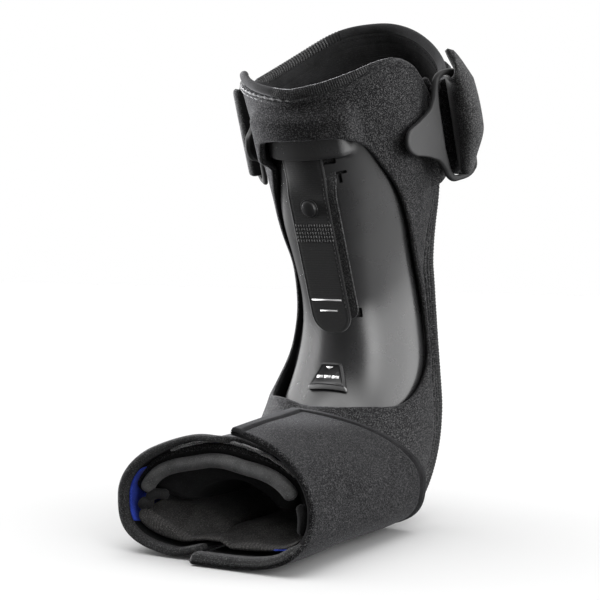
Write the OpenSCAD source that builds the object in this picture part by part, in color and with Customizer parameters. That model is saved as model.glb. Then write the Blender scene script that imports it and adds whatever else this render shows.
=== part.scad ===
/* [Limb line] */
// Length of the sole of the foot wrap, front rim to rear edge
sole_len = 128; // [118:1:140]
// Height of the dorsal line over the sole at the foot
foot_h = 50; // [46:1:56]
// Length of the straight foot stretch, from the tongue edge to the instep bend
foot_run = 62; // [56:1:70]
// How far the tongue edge stands back from the front rim of the wrap
tongue_inset = 8; // [7:0.5:12]
// Radius of the instep bend on the dorsal line
instep_r = 58; // [52:1:64]
// Forward lean of the shin from upright, in degrees
shin_lean = 21; // [16:1:24]
// Length of the straight shin stretch up to the front dip of the cuff
shin_run = 124; // [118:1:134]

/* [Limb sections] */
// Half width of the shell line at the toes
toe_half_w = 42; // [38:1:43]
// Half width of the shell line at the start of the instep bend
foot_half_w = 43; // [39:1:44]
// Half width of the shell line half way round the instep
instep_half_w = 43; // [39:1:45]
// Half width of the shell line at the ankle
ankle_half_w = 36; // [33:1:39]
// Half width of the shell line half way up the shin
shin_half_w = 42; // [39:1:45]
// Half width of the shell line at the cuff
calf_half_w = 51; // [47:1:54]
// Front depth of the section at the toes
toe_depth = 36; // [33:1:38]
// Front depth of the section at the start of the instep bend
foot_depth = 40; // [37:1:42]
// Front depth of the section on the shin
shin_depth = 53; // [49:1:57]
// Rear depth of the section at the heel
heel_depth = 58; // [52:1:64]
// Rear depth of the section at the calf, behind the widest line
calf_depth = 61; // [56:1:66]

/* [Layers] */
// Thickness of the moulded shell
shell_t = 2.5; // [2:0.1:3]
// Thickness of the foam liner
foam_t = 6; // [5:0.5:7]
// Thickness of the inner lining cloth
lining_t = 1.2; // [1:0.1:1.6]
// Thickness of the padded cover
cover_t = 4; // [3:0.25:5]
// Clearance between neighbouring layers
layer_gap = 0.6; // [0.5:0.05:0.8]
// Thickness of the rear calf panel
panel_t = 4; // [3:0.25:5]
// Diameter of the rolled bindings
binding_d = 5; // [4:0.25:6]

/* [Tension strap] */
// Width of the tension strap
strap_w = 25; // [22:1:27]
// Thickness of the tension strap
strap_t = 1.8; // [1.4:0.1:2.2]
// Visible length of the tension strap below the slot
strap_len = 94; // [86:1:98]
// Downward travel of the tension strap
strap_travel = 12; // [8:0.5:12]
// Width of the strap slot in the shell
slot_w = 33; // [30:0.5:36]
// Room under the raised hood of the shell for the strap end
hood_room = 1.9; // [1.7:0.1:2.7]
// Diameter of the snap cap on the tension strap
snap_d = 9; // [8:0.5:10]
// Diameter of the snap stem
snap_stem_d = 4; // [3:0.25:5]
// Thickness of the hook tapes
hook_t = 1.4; // [1.2:0.1:1.6]
// Width of the hook tapes on the tension strap and under it
hook_w = 21; // [18:1:22]
// Height of the limit plate
plate_h = 17; // [15:0.5:18]
// Width of the limit plate at its lower edge
plate_w = 25; // [22:0.5:28]
// Thickness of the limit plate
plate_t = 2.4; // [2:0.1:3]

/* [Strap loops] */
// Distance from the middle plane to the outer bar of each loop
bar_x = 70; // [68:0.5:74]
// Distance of the outer bars behind the pivots of the loops
bar_reach = 21.5; // [19:0.5:24]
// Diameter of the outer bars
bar_d = 6; // [5:0.25:7]
// Thickness of the loop plates
loop_t = 3.2; // [2.8:0.1:3.6]
// Radius of the pivot lobe of each loop
lobe_r = 13; // [11:0.5:14]
// Width of the frame of each loop beside the slot
frame_w = 6; // [5:0.25:6.5]
// Diameter of the pivot studs
stud_d = 6; // [5:0.25:7]
// Radial clearance of the loops on the pivot studs
stud_clear = 0.05; // [0.02:0.01:0.1]
// Diameter of the stud washers
washer_d = 13; // [12:0.5:15]
// Width of the calf strap
calf_strap_w = 49; // [44:1:50]
// Thickness of the calf strap
calf_strap_t = 2.6; // [2:0.1:3]
// Length of the free end of the calf strap behind the bar
tail_len = 29; // [26:1:32]

/* [Foot wrap] */
// Thickness of the wrap fabric
wrap_t = 4; // [3:0.25:5]
// Thickness of the blue wrap lining
wrap_lining_t = 1; // [0.8:0.1:1.4]
// Space between the cover and the wrap lining beside the foot
wrap_room = 5; // [4:0.5:6]
// Space between the cover and the wrap lining over the foot
wrap_lift = 3.5; // [3:0.25:5]
// Width of the front hem of the wrap
hem_w = 6; // [5:0.5:7]
// Height of the fold line of the flap over the sole
fold_h = 14; // [12:0.5:18]
// How far the top of the wrap reaches past the start of the instep bend
instep_lap = 12; // [8:1:14]
// Thickness of the two sole pad lobes at their crown
sole_pad_t = 18; // [15:0.5:19]
// Clearance between the moving flap and what it lies on
flap_gap = 0.5; // [0.4:0.1:0.8]

/* [Hidden] */
$fn = 48;

// Stations along the dorsal line, measured from the tongue edge
v_foot = foot_run;
v_shin = v_foot + instep_r * (90 + shin_lean) * PI / 180;
v_cuff = v_shin + shin_run;
v_instep = (v_foot + v_shin) / 2;
v_ankle = v_shin - 16;
v_mid_shin = v_shin + 54;
v_end = v_cuff + 40;
binding_gap = 0.3;
bend_y = -sole_len / 2 + tongue_inset + foot_run;
bend_z = foot_h + instep_r;

HALF_W = [
    [0, toe_half_w], [v_foot, foot_half_w], [v_instep, instep_half_w], [v_ankle, ankle_half_w],
    [v_shin + 12, ankle_half_w + 0.5], [v_mid_shin, shin_half_w], [v_cuff, calf_half_w],
    [v_end, calf_half_w + 2]
];
FRONT_D = [
    [0, toe_depth], [v_foot, foot_depth], [v_ankle, shin_depth - 1], [v_mid_shin, shin_depth],
    [v_end, shin_depth]
];
REAR_D = [
    [0, toe_depth], [v_foot, foot_depth + 4], [v_instep, heel_depth],
    [v_mid_shin, (heel_depth + calf_depth) / 2], [v_mid_shin + 35, calf_depth], [v_end, calf_depth]
];

// Offsets of the layers from the outer face of the shell
cover_in = layer_gap;
cover_out = cover_in + cover_t;
cover_mid = (cover_in + cover_out) / 2;
foam_out = -shell_t - layer_gap;
foam_in = foam_out - foam_t;
lining_out = foam_in - layer_gap;
lining_in = lining_out - lining_t;
panel_in = cover_out + layer_gap;
panel_out = panel_in + panel_t;

function unit(p) = p / norm(p);
function mix(a, b, t) = a + (b - a) * t;
function ease(t) = let (c = max(0, min(1, t))) c * c * (3 - 2 * c);
function steps(lo, hi, n) = [for (i = [0 : n]) mix(lo, hi, i / n)];
function joined(rows) = [for (row = rows) each row];
function mapped(grid, spot) = [for (row = grid) [for (p = row) spot(p)]];

// Smooth curve through stations [place, value], where a value is a number or a list of numbers
function slope_at(s, i) =
    let (p = max(i - 1, 0), n = min(i + 1, len(s) - 1))
    (s[n][1] - s[p][1]) / (s[n][0] - s[p][0]);
function span_at(s, v, i = 0) = i >= len(s) - 2 || v < s[i + 1][0] ? i : span_at(s, v, i + 1);
function along(s, v) =
    let (i = span_at(s, v), h = s[i + 1][0] - s[i][0], t = max(0, min(1, (v - s[i][0]) / h)))
    s[i][1] * (2 * t * t * t - 3 * t * t + 1) + slope_at(s, i) * h * (t * t * t - 2 * t * t + t)
    + s[i + 1][1] * (3 * t * t - 2 * t * t * t) + slope_at(s, i + 1) * h * (t * t * t - t * t);
function numbered(points) = [for (i = [0 : len(points) - 1]) [i, points[i]]];

// Dorsal line: flat foot, round instep, straight leaning shin
function bend_at(v) = max(0, min(90 + shin_lean, (v - v_foot) / instep_r * 180 / PI));
function line_at(v) =
    let (a = bend_at(v), before = min(0, v - v_foot), after = max(0, v - v_shin))
    [bend_y + instep_r * sin(a) + before + after * cos(a), bend_z - instep_r * cos(a) + after * sin(a)];

// Point of the limb surface: v along, th round from the dorsal line in degrees, d outwards
function limb_section(v, th, d) =
    let (w = along(HALF_W, v), f = along(FRONT_D, v), b = abs(th) <= 90 ? f : along(REAR_D, v))
    let (nx = b * sin(th), nd = -w * cos(th), n = norm([nx, nd]))
    [w * sin(th) + d * nx / n, f - b * cos(th) + d * nd / n];
function limb(v, th, d) =
    let (s = limb_section(v, th, d), a = bend_at(v), m = line_at(v))
    [s[0], m[0] + s[1] * sin(a), m[1] - s[1] * cos(a)];
function limb_normal(v, th) = unit(limb(v, th, 1) - limb(v, th, 0));

// Frame of the straight shin: x across, y the depth behind the dorsal line, z up the shin from its start
SHIN_START = line_at(v_shin);
function shin_point(x, depth, z) = [
    x,
    SHIN_START[0] + depth * cos(shin_lean) - z * sin(shin_lean),
    SHIN_START[1] + depth * sin(shin_lean) + z * cos(shin_lean)
];
module in_shin() {
    translate([0, SHIN_START[0], SHIN_START[1]]) rotate([shin_lean, 0, 0]) children();
}

// Raised hood of the shell over the upper end of the tension strap
slot_v = v_shin + 80;
hood_h = shell_t + hood_room;
hood_ramp = 8;
hood_len = 22;
hood_side = 3;
function hood(v, th, grow = 0) =
    let (x = abs(along(HALF_W, v) * sin(th)), half = slot_w / 2 + hood_side + grow)
    (hood_h + grow / 4) * ease((v - slot_v + hood_ramp / 2 + grow) / hood_ramp)
    * ease((slot_v + hood_len + hood_ramp + grow - v) / hood_ramp)
    * ease((half + hood_ramp - x) / hood_ramp);

// Closed solid between two grids of points: rows run along, columns run round
module sheet_solid(outer, inner, ring = false) {
    rows = len(outer);
    cols = len(outer[0]);
    base = rows * cols;
    last = ring ? rows - 1 : rows - 2;
    function o(i, j) = (i % rows) * cols + j;
    function n(i, j) = base + o(i, j);
    skin = [for (i = [0 : last], j = [0 : cols - 2]) each [
        [o(i, j), o(i + 1, j), o(i + 1, j + 1)], [o(i, j), o(i + 1, j + 1), o(i, j + 1)],
        [n(i, j), n(i + 1, j + 1), n(i + 1, j)], [n(i, j), n(i, j + 1), n(i + 1, j + 1)]
    ]];
    sides = [for (i = [0 : last]) let (e = cols - 1) each [
        [o(i + 1, 0), o(i, 0), n(i, 0)], [o(i + 1, 0), n(i, 0), n(i + 1, 0)],
        [o(i, e), o(i + 1, e), n(i + 1, e)], [o(i, e), n(i + 1, e), n(i, e)]
    ]];
    ends = ring ? [] : [for (j = [0 : cols - 2]) let (e = rows - 1) each [
        [o(0, j), o(0, j + 1), n(0, j + 1)], [o(0, j), n(0, j + 1), n(0, j)],
        [o(e, j + 1), o(e, j), n(e, j)], [o(e, j + 1), n(e, j), n(e, j + 1)]
    ]];
    polyhedron(concat(joined(outer), joined(inner)), concat(skin, sides, ends));
}

// Oval tube along points: thick is its size towards the facing direction, wide its size across
module tube(path, facing, thick, wide, sides = 8) {
    last = len(path) - 1;
    rings = [for (i = [0 : last])
        let (t = unit(path[min(i + 1, last)] - path[max(i - 1, 0)]))
        let (n = unit(facing[i] - t * (facing[i] * t)), b = cross(t, n))
        [for (k = [0 : sides - 1]) let (a = 360 * k / sides)
            path[i] + n * (thick / 2 * cos(a)) + b * (wide / 2 * sin(a))]
    ];
    function p(i, k) = i * sides + k % sides;
    walls = [for (i = [0 : last - 1], k = [0 : sides - 1]) each [
        [p(i, k), p(i + 1, k), p(i + 1, k + 1)], [p(i, k), p(i + 1, k + 1), p(i, k + 1)]
    ]];
    caps = [for (k = [1 : sides - 2]) each [
        [p(0, 0), p(0, k), p(0, k + 1)], [p(last, 0), p(last, k + 1), p(last, k)]
    ]];
    polyhedron(joined(rings), concat(walls, caps));
}

// Layer of the limb between two offsets, with its widest angle given at stations along it
module limb_layer(stations, widest, out_d, in_d, cols, raised = false) {
    grid = [for (v = stations) [for (s = steps(-1, 1, cols)) [v, s * along(widest, v)]]];
    function skin(d) = mapped(grid, function (p) limb(p[0], p[1], d + (raised ? hood(p[0], p[1]) : 0)));
    sheet_solid(skin(out_d), skin(in_d));
}

// Pivot of the loops on the side of the cuff
loop_v = v_shin + 83;
loop_z = loop_v - v_shin;
lobe_th = 76;
loop_stand = 3.8;
boss_gap = 1.7;
LOBE = limb_section(loop_v, lobe_th, cover_out + loop_stand);
bar_depth = LOBE[1] + bar_reach;
lobe_turn = let (n = LOBE - limb_section(loop_v, lobe_th, cover_out)) atan2(-n[1], n[0]);

// Frame of the right loop: x backwards along the lobe, y up the shin, z out of the lobe
module at_lobe() {
    in_shin() translate([LOBE[0], LOBE[1], loop_z]) rotate([90, 0, 90 - lobe_turn]) children();
}
module on_left() { mirror([1, 0, 0]) children(); }

// Depths below the back of the lobe at which the stud meets the layers
stud_shell = loop_stand + cover_out;
washer_gap = 1;
washer_t = 1.5;
stud_foot = stud_shell + shell_t + washer_gap + washer_t;
bore_depth = 2.2;

// Outline of the cover and of its window on the limb surface, from the front dip of the cuff down one side.
// Each pair is a point of the window and the outline point that it faces, as [station, angle].
v_heel = v_foot + 50;
v_rim = v_cuff - binding_d - binding_gap;
COVER_SIDE = [
    [[slot_v + 12, 0], [v_rim, 0]],
    [[slot_v + 11, 22], [v_rim + 3, 40]],
    [[slot_v + 5, 36], [v_rim + 1, 66]],
    [[v_shin + 71, 51], [v_rim - 13, 90]],
    [[v_shin + 55, 61], [loop_v - 2, 110]],
    [[v_shin + 35, 68], [v_shin + 47, 104]],
    [[v_shin + 15, 71.5], [v_shin + 24, 93.5]],
    [[v_shin - 3, 74], [v_shin + 1, 86]],
    [[v_shin - 19, 77], [v_shin - 19, 84]],
    [[v_shin - 31, 77.5], [v_shin - 34, 86.5]],
    [[v_shin - 42, 69], [v_shin - 47, 94]],
    [[v_shin - 53, 54], [v_heel - 3, 103]],
    [[v_heel + 5, 33], [v_heel - 18, 82]],
    [[v_heel - 2, 16], [v_foot * 0.4, 75]],
    [[v_heel - 4, 7], [0, 68]],
    [[v_heel - 4, 5], [0, 46]],
    [[v_heel - 4, 2.5], [0, 23]],
    [[v_heel - 4, 0], [0, 0]]
];
cover_fine = 3;
cover_cols = 6;
function on_limb(p) = [max(0, p[0]), max(0, p[1])];
COVER_HALF = let (s = numbered(COVER_SIDE), n = (len(s) - 1) * cover_fine)
    [for (k = [0 : n]) [for (p = along(s, k / cover_fine)) on_limb(p)]];
function left_of(pair) = [for (p = pair) [p[0], -p[1]]];
COVER_LOOP = let (n = len(COVER_HALF) - 1)
    concat([for (k = [0 : n]) left_of(COVER_HALF[k])], [for (k = [n - 1 : -1 : 1]) COVER_HALF[k]]);
cuff_last = 8;
edge_first = 9;
edge_last = 33;
hood_grow = 4;

// Middle of a binding just outside the cover's outline, on the right for side 1 and the left for side -1
function edge_spot(k, side) =
    let (p = COVER_HALF[k][1]) limb(p[0], side * p[1], cover_mid);
function edge_facing(k, side) =
    let (p = COVER_HALF[k][1]) limb_normal(p[0], side * p[1]);
function edge_middle(k, side) =
    let (t = unit(edge_spot(k + 1, side) - edge_spot(max(k - 1, 0), side)))
    edge_spot(k, side) + unit(cross(edge_facing(k, side), t)) * side * (binding_d / 2 + binding_gap);

module dorsal_shell() {
    start = 8;
    top = v_cuff - 8;
    widest = [
        [start, 46], [v_foot, 52], [v_heel + 10, 62], [v_shin - 40, 75], [v_shin - 28, 82], [v_shin, 79],
        [v_shin + 30, 75], [v_shin + 56, 72], [loop_v - 15, lobe_th + 8], [loop_v + 14, lobe_th + 9],
        [top - 6, 74], [top, 56]
    ];
    stations = concat(steps(start, slot_v - hood_ramp, 21), steps(slot_v - hood_ramp / 2, top, 18));
    color("#151517") difference() {
        limb_layer(stations, widest, 0, -shell_t, 24, raised = true);
        on_strap() translate([-slot_w / 2, -slot_below, -strap_t / 2 - slot_clear])
            cube([slot_w, slot_below + strap_hidden, strap_t + 2 * slot_clear]);
        for (v = [slot_v - 9, v_shin + 5]) base_slit(v);
        stud_holes(stud_d / 2 + stud_clear);
    }
}

module foam_liner() {
    start = 4;
    top = v_cuff - 6;
    washer_room = 4.6;
    edge = lobe_th - (washer_d / 2 + washer_room) / shin_depth * 180 / PI;
    widest = [
        [start, 46], [v_foot, 46], [v_heel, 52], [v_shin - 20, edge], [v_shin + 40, edge], [top, edge - 2]
    ];
    color("#3a3a3c") limb_layer(steps(start, top, 24), widest, foam_out, foam_in, 10);
}

module inner_lining() {
    start = 2;
    top = v_cuff - 3;
    widest = [[start, 46], [v_foot, 46], [v_heel, 54], [v_shin - 20, 76], [v_shin + 40, 78], [top, 76]];
    color("#202023") limb_layer(steps(start, top, 24), widest, lining_out, lining_in, 10);
}

module front_cover() {
    grid = [for (pair = COVER_LOOP) [for (s = steps(0, 1, cover_cols)) mix(pair[0], pair[1], s)]];
    function skin(d) = mapped(grid, function (p) limb(p[0], p[1], d + hood(p[0], p[1], hood_grow)));
    color("#232326") difference() {
        sheet_solid(skin(cover_out), skin(cover_in), ring = true);
        stud_holes(stud_d / 2 + layer_gap);
    }
}

module cuff_binding() {
    order = [for (k = [-cuff_last : cuff_last]) [abs(k), k < 0 ? -1 : 1]];
    color("#19191b") tube([for (k = order) edge_middle(k[0], k[1])],
                          [for (k = order) edge_facing(k[0], k[1])], binding_d, binding_d);
}

module edge_binding(side) {
    count = edge_last - edge_first;
    order = [for (k = [0 : count]) side > 0 ? edge_first + k : edge_last - k];
    color("#19191b") tube([for (k = order) edge_middle(k, side)], [for (k = order) edge_facing(k, side)],
                          binding_d - layer_gap, binding_d, 6);
}

module left_edge_binding() { edge_binding(-1); }
module right_edge_binding() { edge_binding(1); }

module tongue_binding() {
    reach = 66;
    wide = 5;
    angles = steps(-reach, reach, 22);
    middle = (cover_out + lining_in) / 2;
    color("#1b1b1d") tube([for (th = angles) limb(-wide / 2 - binding_gap, th, middle)],
                          [for (th = angles) limb_normal(0, th)], cover_out - lining_in - 2, wide, 10);
}

// Rear calf panel, from one edge of the cuff round the calf to the other
panel_back = 15;
panel_th = lobe_th + panel_back;
panel_low = v_shin + 46;
function panel_top(th) = v_rim - 8 + 13 * ease((90 - abs(th - 180)) / 90);
module calf_panel() {
    angles = steps(panel_th, 360 - panel_th, 26);
    grid = [for (s = steps(0, 1, 9)) [for (th = angles) [mix(panel_low, panel_top(th), s), th]]];
    function skin(d) = mapped(grid, function (p) limb(p[0], p[1], d));
    color("#1e1e21") sheet_solid(skin(panel_out), skin(panel_in));
}

module calf_panel_binding() {
    angles = steps(panel_th + 1, 359 - panel_th, 30);
    middle = (panel_out + panel_in) / 2;
    above = binding_d / 2 + binding_gap;
    color("#19191b") tube([for (th = angles) limb(panel_top(th) + above, th, middle)],
                          [for (th = angles) limb_normal(v_cuff, th)], binding_d, binding_d);
}

// Calf strap: middle line in the section of the shin, from the left bar round the calf to the right bar
strap_lift = 1;
strap_leave_th = 126;
bar_gap = 0.4;
turn_in = bar_d / 2 + bar_gap;
turn_out = turn_in + calf_strap_t;
strap_end_gap = 8;
strap_d = panel_out + strap_lift + calf_strap_t / 2;
STRAP_LEAVE = limb_section(loop_v, strap_leave_th, strap_d);
strap_run = unit([bar_x, bar_depth] - STRAP_LEAVE);
strap_side = [-strap_run[1], strap_run[0]];
STRAP_END = [bar_x, bar_depth] - strap_side * (turn_in + turn_out) / 2 - strap_run * strap_end_gap;
function strap_line(v) =
    let (leave = limb_section(v, strap_leave_th, strap_d))
    let (right = [for (s = [0.25 : 0.25 : 1]) mix(leave, STRAP_END, s)])
    let (left = [for (i = [len(right) - 1 : -1 : 0]) [-right[i][0], right[i][1]]])
    let (round = [for (th = steps(360 - strap_leave_th, strap_leave_th, 20)) limb_section(v, th, strap_d)])
    concat(left, round, right);
function strap_point(line, i, d, v) =
    let (t = unit(line[min(i + 1, len(line) - 1)] - line[max(i - 1, 0)]))
    let (p = line[i] + d * [-t[1], t[0]])
    shin_point(p[0], p[1], v - v_shin);

module calf_strap() {
    lines = [for (v = steps(loop_v - calf_strap_w / 2, loop_v + calf_strap_w / 2, 6)) [v, strap_line(v)]];
    last = len(lines[0][1]) - 1;
    function skin(d) = [for (i = [0 : last]) [for (l = lines) strap_point(l[1], i, d, l[0])]];
    color("#1d1d20") sheet_solid(skin(calf_strap_t / 2), skin(-calf_strap_t / 2));
}

// Frame round the right outer bar: x along the strap towards the front, y away from the leg, z up the bar
module at_bar() {
    in_shin() translate([bar_x, bar_depth, loop_z])
        rotate([0, 0, atan2(strap_run[1], strap_run[0])]) children();
}

turn_lap = 2;
turn_len = 14;
module strap_turn(back_len) {
    linear_extrude(height = calf_strap_w, center = true) {
        difference() {
            circle(r = turn_out);
            circle(r = turn_in);
            translate([-2 * turn_out, -turn_out]) square([2 * turn_out, 2 * turn_out]);
        }
        translate([-turn_lap, -turn_out]) square([turn_lap, calf_strap_t]);
        translate([-back_len, turn_in]) square([back_len, calf_strap_t]);
    }
}
module left_strap_turn() { color("#1d1d20") on_left() at_bar() strap_turn(turn_len); }
module strap_tail() { color("#1d1d20") at_bar() strap_turn(tail_len); }
module tail_hook() {
    inset = 2;
    color("#101012") at_bar()
        translate([-tail_len + inset, turn_in - hook_gap - hook_t, -calf_strap_w / 2 + inset])
        cube([tail_len / 2, hook_t, calf_strap_w - 2 * inset]);
}

// Moulded strap loop: flat lobe on the pivot, bent outwards to the round outer bar
module loop() {
    reach = [bar_x, bar_depth] - LOBE;
    bar_p = reach[0] * sin(lobe_turn) + reach[1] * cos(lobe_turn);
    bar_n = reach[0] * cos(lobe_turn) - reach[1] * sin(lobe_turn);
    bend_p = 7;
    flare = atan2(bar_n - loop_t / 2, bar_p - bend_p);
    miter = loop_t / 2 * tan(flare / 2);
    slot_room = 1.5;
    half_slot = calf_strap_w / 2 + slot_room;
    half_len = half_slot + frame_w;
    arm_w = 4;
    slot_r = 2;
    tall = 4 * bar_x;
    side = [-sin(flare), cos(flare)] * loop_t / 2;
    end = [bar_p, bar_n];
    difference() {
        union() {
            intersection() {
                linear_extrude(height = tall, center = true) difference() {
                    union() {
                        circle(r = lobe_r);
                        polygon([[0, lobe_r], [bend_p, half_slot - arm_w], [bend_p + arm_w, half_slot],
                                 [bend_p + arm_w, -half_slot], [bend_p, arm_w - half_slot], [0, -lobe_r]]);
                        polygon(rounded_box(bend_p, -half_len, bar_p, half_len, frame_w));
                    }
                    polygon(rounded_box(bend_p + arm_w, -half_slot, bar_p - bar_d / 2, half_slot, slot_r));
                    translate([bar_p - bar_d, -half_slot]) square([2 * bar_d, 2 * half_slot]);
                }
                rotate([90, 0, 0]) linear_extrude(height = tall, center = true) polygon([
                    [-lobe_r - 1, 0], [bend_p + miter, 0], end - side, end + side, [bend_p - miter, loop_t],
                    [-lobe_r - 1, loop_t]
                ]);
            }
            translate([bar_p, 0, bar_n]) rotate([90, 0, 0])
                cylinder(d = bar_d, h = 2 * half_slot + frame_w, center = true);
            translate([0, 0, boss_gap - loop_stand]) cylinder(r = lobe_r / 2, h = loop_stand);
        }
        translate([0, 0, -2 * loop_stand])
            cylinder(d = stud_d + 2 * stud_clear, h = 2 * loop_stand + bore_depth);
    }
}
function rounded_box(x0, y0, x1, y1, r) = [
    for (c = [[x1 - r, y1 - r, 0], [x0 + r, y1 - r, 90], [x0 + r, y0 + r, 180], [x1 - r, y0 + r, 270]])
    for (a = [0 : 15 : 90]) [c[0] + r * cos(c[2] + a), c[1] + r * sin(c[2] + a)]
];
module left_loop() { color("#2b2c2e") on_left() at_lobe() loop(); }
module right_loop() { color("#2b2c2e") at_lobe() loop(); }

module stud() {
    head_t = 1.2;
    head_rim = 1.5;
    end_gap = 0.2;
    translate([0, 0, -stud_foot]) cylinder(d = stud_d, h = stud_foot + bore_depth - end_gap);
    translate([0, 0, -stud_foot - head_t]) cylinder(d = stud_d + 2 * head_rim, h = head_t);
}
module left_stud() { color("#8a8d92") on_left() at_lobe() stud(); }
module right_stud() { color("#8a8d92") at_lobe() stud(); }
module stud_holes(r) {
    for (side = [0, 1]) mirror([side, 0, 0]) at_lobe()
        translate([0, 0, -stud_foot]) cylinder(r = r, h = stud_foot);
}
module washer() {
    seat = 0.02;
    translate([0, 0, seat - stud_foot]) difference() {
        cylinder(d = washer_d, h = washer_t);
        translate([0, 0, -1]) cylinder(d = stud_d + 2 * stud_clear, h = washer_t + 2);
    }
}
module left_washer() { color("#6e7176") on_left() at_lobe() washer(); }
module right_washer() { color("#6e7176") at_lobe() washer(); }

// Tension strap: straight from the slot to the lower end of its travel
strap_clear = 0.4;
slot_clear = 0.6;
slot_below = 6;
strap_drop = 4;
STRAP_TOP = limb(slot_v - strap_drop, 0, strap_clear + strap_t / 2);
STRAP_LOW = limb(slot_v - strap_drop - strap_len - strap_travel, 0, slot_clear + strap_clear + strap_t / 2);
hook_drop = 40;
hook_gap = 0.1;
hook_clear = 0.35;
base_seat = 0.2;
base_above = 2;
base_len = 36;
base_high = slot_v - strap_drop - hook_drop + base_above;
base_low = base_high - base_len;
// The strap stands off the instep at its lower end and leaves room for the two hook tapes under it
instep_lean = let (d = STRAP_TOP - STRAP_LOW) atan2(-d[1], d[2]);
hook_lean = shin_lean - atan((base_seat + 2 * hook_t + hook_gap + hook_clear - strap_clear) / hook_drop);
strap_lean = min(instep_lean, hook_lean);
strap_hidden = strap_travel + 3;
snap_drop = 24;

// Frame of the strap: x across, y up the strap from the slot, z off the shell
module on_strap() { translate(STRAP_TOP) rotate([90 + strap_lean, 0, 0]) children(); }

module tension_strap() {
    tip_r = 9;
    color("#1a1a1c") on_strap() difference() {
        translate([0, 0, -strap_t / 2]) linear_extrude(height = strap_t) {
            translate([-strap_w / 2, tip_r - strap_len])
                square([strap_w, strap_len - tip_r + strap_hidden]);
            translate([-strap_w / 2 + tip_r, -strap_len]) square([strap_w - 2 * tip_r, tip_r]);
            for (side = [-1, 1]) translate([side * (strap_w / 2 - tip_r), tip_r - strap_len])
                circle(r = tip_r);
        }
        translate([0, -snap_drop, -strap_t]) cylinder(d = snap_stem_d + 2 * stud_clear, h = 2 * strap_t);
    }
}

module strap_hook() {
    tip_gap = 20;
    color("#0f0f11") on_strap()
        translate([-hook_w / 2, tip_gap - strap_len, -strap_t / 2 - hook_gap - hook_t])
        cube([hook_w, strap_len - tip_gap - hook_drop, hook_t]);
}

module strap_snap() {
    cap_t = 1.6;
    seat = 0.05;
    color("#0e0e10") on_strap() translate([0, -snap_drop, 0]) {
        translate([0, 0, -strap_t / 2 - seat - cap_t / 2]) cylinder(d = snap_d - 2, h = cap_t / 2);
        translate([0, 0, -strap_t / 2 - seat]) cylinder(d = snap_stem_d, h = strap_t + 2 * seat);
        translate([0, 0, strap_t / 2 + seat]) cylinder(d1 = snap_d, d2 = snap_d - 3, h = cap_t);
    }
}

module hook_base() {
    stations = steps(base_low, base_high, 10);
    function at(v, s, d) = limb(v, asin(s * hook_w / 2 / along(HALF_W, v)), d);
    function skin(d) = [for (v = stations) [for (s = steps(-1, 1, 6)) at(v, s, d)]];
    color("#121214") sheet_solid(skin(base_seat + hook_t), skin(base_seat));
}
module base_slit(v) {
    slit_w = 12;
    slit_h = 2;
    slit_gap = 1;
    p = limb(v, asin((hook_w / 2 + slit_w / 2 + slit_gap) / along(HALF_W, v)), 0);
    translate(p) rotate([shin_lean, 0, 0]) cube([slit_w, 4 * shell_t, slit_h], center = true);
}

module limit_plate() {
    low = v_shin - 55;
    narrow = 0.5;
    seat = layer_gap;
    function half(v) = plate_w / 2 * mix(1, narrow, (v - low) / plate_h);
    function at(v, s, d) = limb(v, asin(s * half(v) / along(HALF_W, v)), d);
    function skin(d) = [for (v = steps(low, low + plate_h, 6)) [for (s = steps(-1, 1, 6)) at(v, s, d)]];
    color("#17171a") sheet_solid(skin(seat + plate_t), skin(seat));
}

// Foot wrap: oval sections across the foot, with angle 0 on the right, 90 on top and 270 under the sole
wrap_power = 2.6;
sole_power = 3.2;
wrap_w = max(toe_half_w, foot_half_w) + cover_out + wrap_room + wrap_lining_t + layer_gap + wrap_t;
body_top = foot_h + cover_out + wrap_lift + wrap_lining_t + layer_gap + wrap_t;
hook_seat = 0.3;
flap_top = body_top + flap_gap + hook_t + hook_seat + wrap_t;
wrap_mid = 29;
sole_cut = 0.6;
y_front = -sole_len / 2;
y_rear = sole_len / 2;
hem_gap = 0.3;
hem_grow = 0.8;
flap_tuck = 2.4;
function oval(c, power) = sign(c) * pow(abs(c), 2 / power);
function wrap_at(phi, y, top, inset) =
    let (power = sin(phi) > 0 ? wrap_power : sole_power)
    let (below = inset > 0 ? wrap_mid - inset : wrap_mid + sole_cut)
    let (rise = sin(phi) > 0 ? top - inset - wrap_mid : below)
    [(wrap_w - inset) * oval(cos(phi), power), y, wrap_mid + rise * oval(sin(phi), power)];
function tuck(phi) = flap_tuck * ease((100 - phi) / 30);
instep_cut = y_rear - bend_y - instep_lap;
function wrap_rear(phi) = y_rear - instep_cut * pow(max(0, sin(phi)), 1.7);
fold_phi = let (s = (wrap_mid - fold_h) / (wrap_mid + sole_cut)) -asin(pow(s, sole_power / 2));
body_end_phi = 54;
function flap_end_phi(y) = mix(79, 92, (y - y_front) / (y_rear - instep_cut - y_front));

module body_panel(y0, rear, out_inset, in_inset, cols) {
    far = y_front + hem_w;
    across = steps(0, 1, cols);
    grid = [for (phi = BODY_PHI) [for (s = across) [phi, mix(y0, rear ? wrap_rear(phi) : far, s)]]];
    function skin(inset) = mapped(grid, function (p) wrap_at(p[0], p[1], body_top, inset + tuck(p[0])));
    sheet_solid(skin(out_inset), skin(in_inset));
}
BODY_PHI = concat(steps(body_end_phi, 180, 14), steps(187, 360 + fold_phi, 18));
module sole_plane() { translate([-200, -200, -100]) cube([400, 400, 100]); }

module wrap_body() {
    color("#232326") difference() {
        body_panel(y_front + hem_w + hem_gap, true, 0, wrap_t, 8);
        sole_plane();
    }
}
module wrap_hem() {
    color("#1a1a1c") difference() {
        body_panel(y_front, false, 0, wrap_t + hem_grow, 2);
        sole_plane();
    }
}
module wrap_lining() {
    color("#2f45b8") body_panel(y_front + hem_w + hem_gap, true, wrap_t + layer_gap, lining_inset, 8);
}

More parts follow.
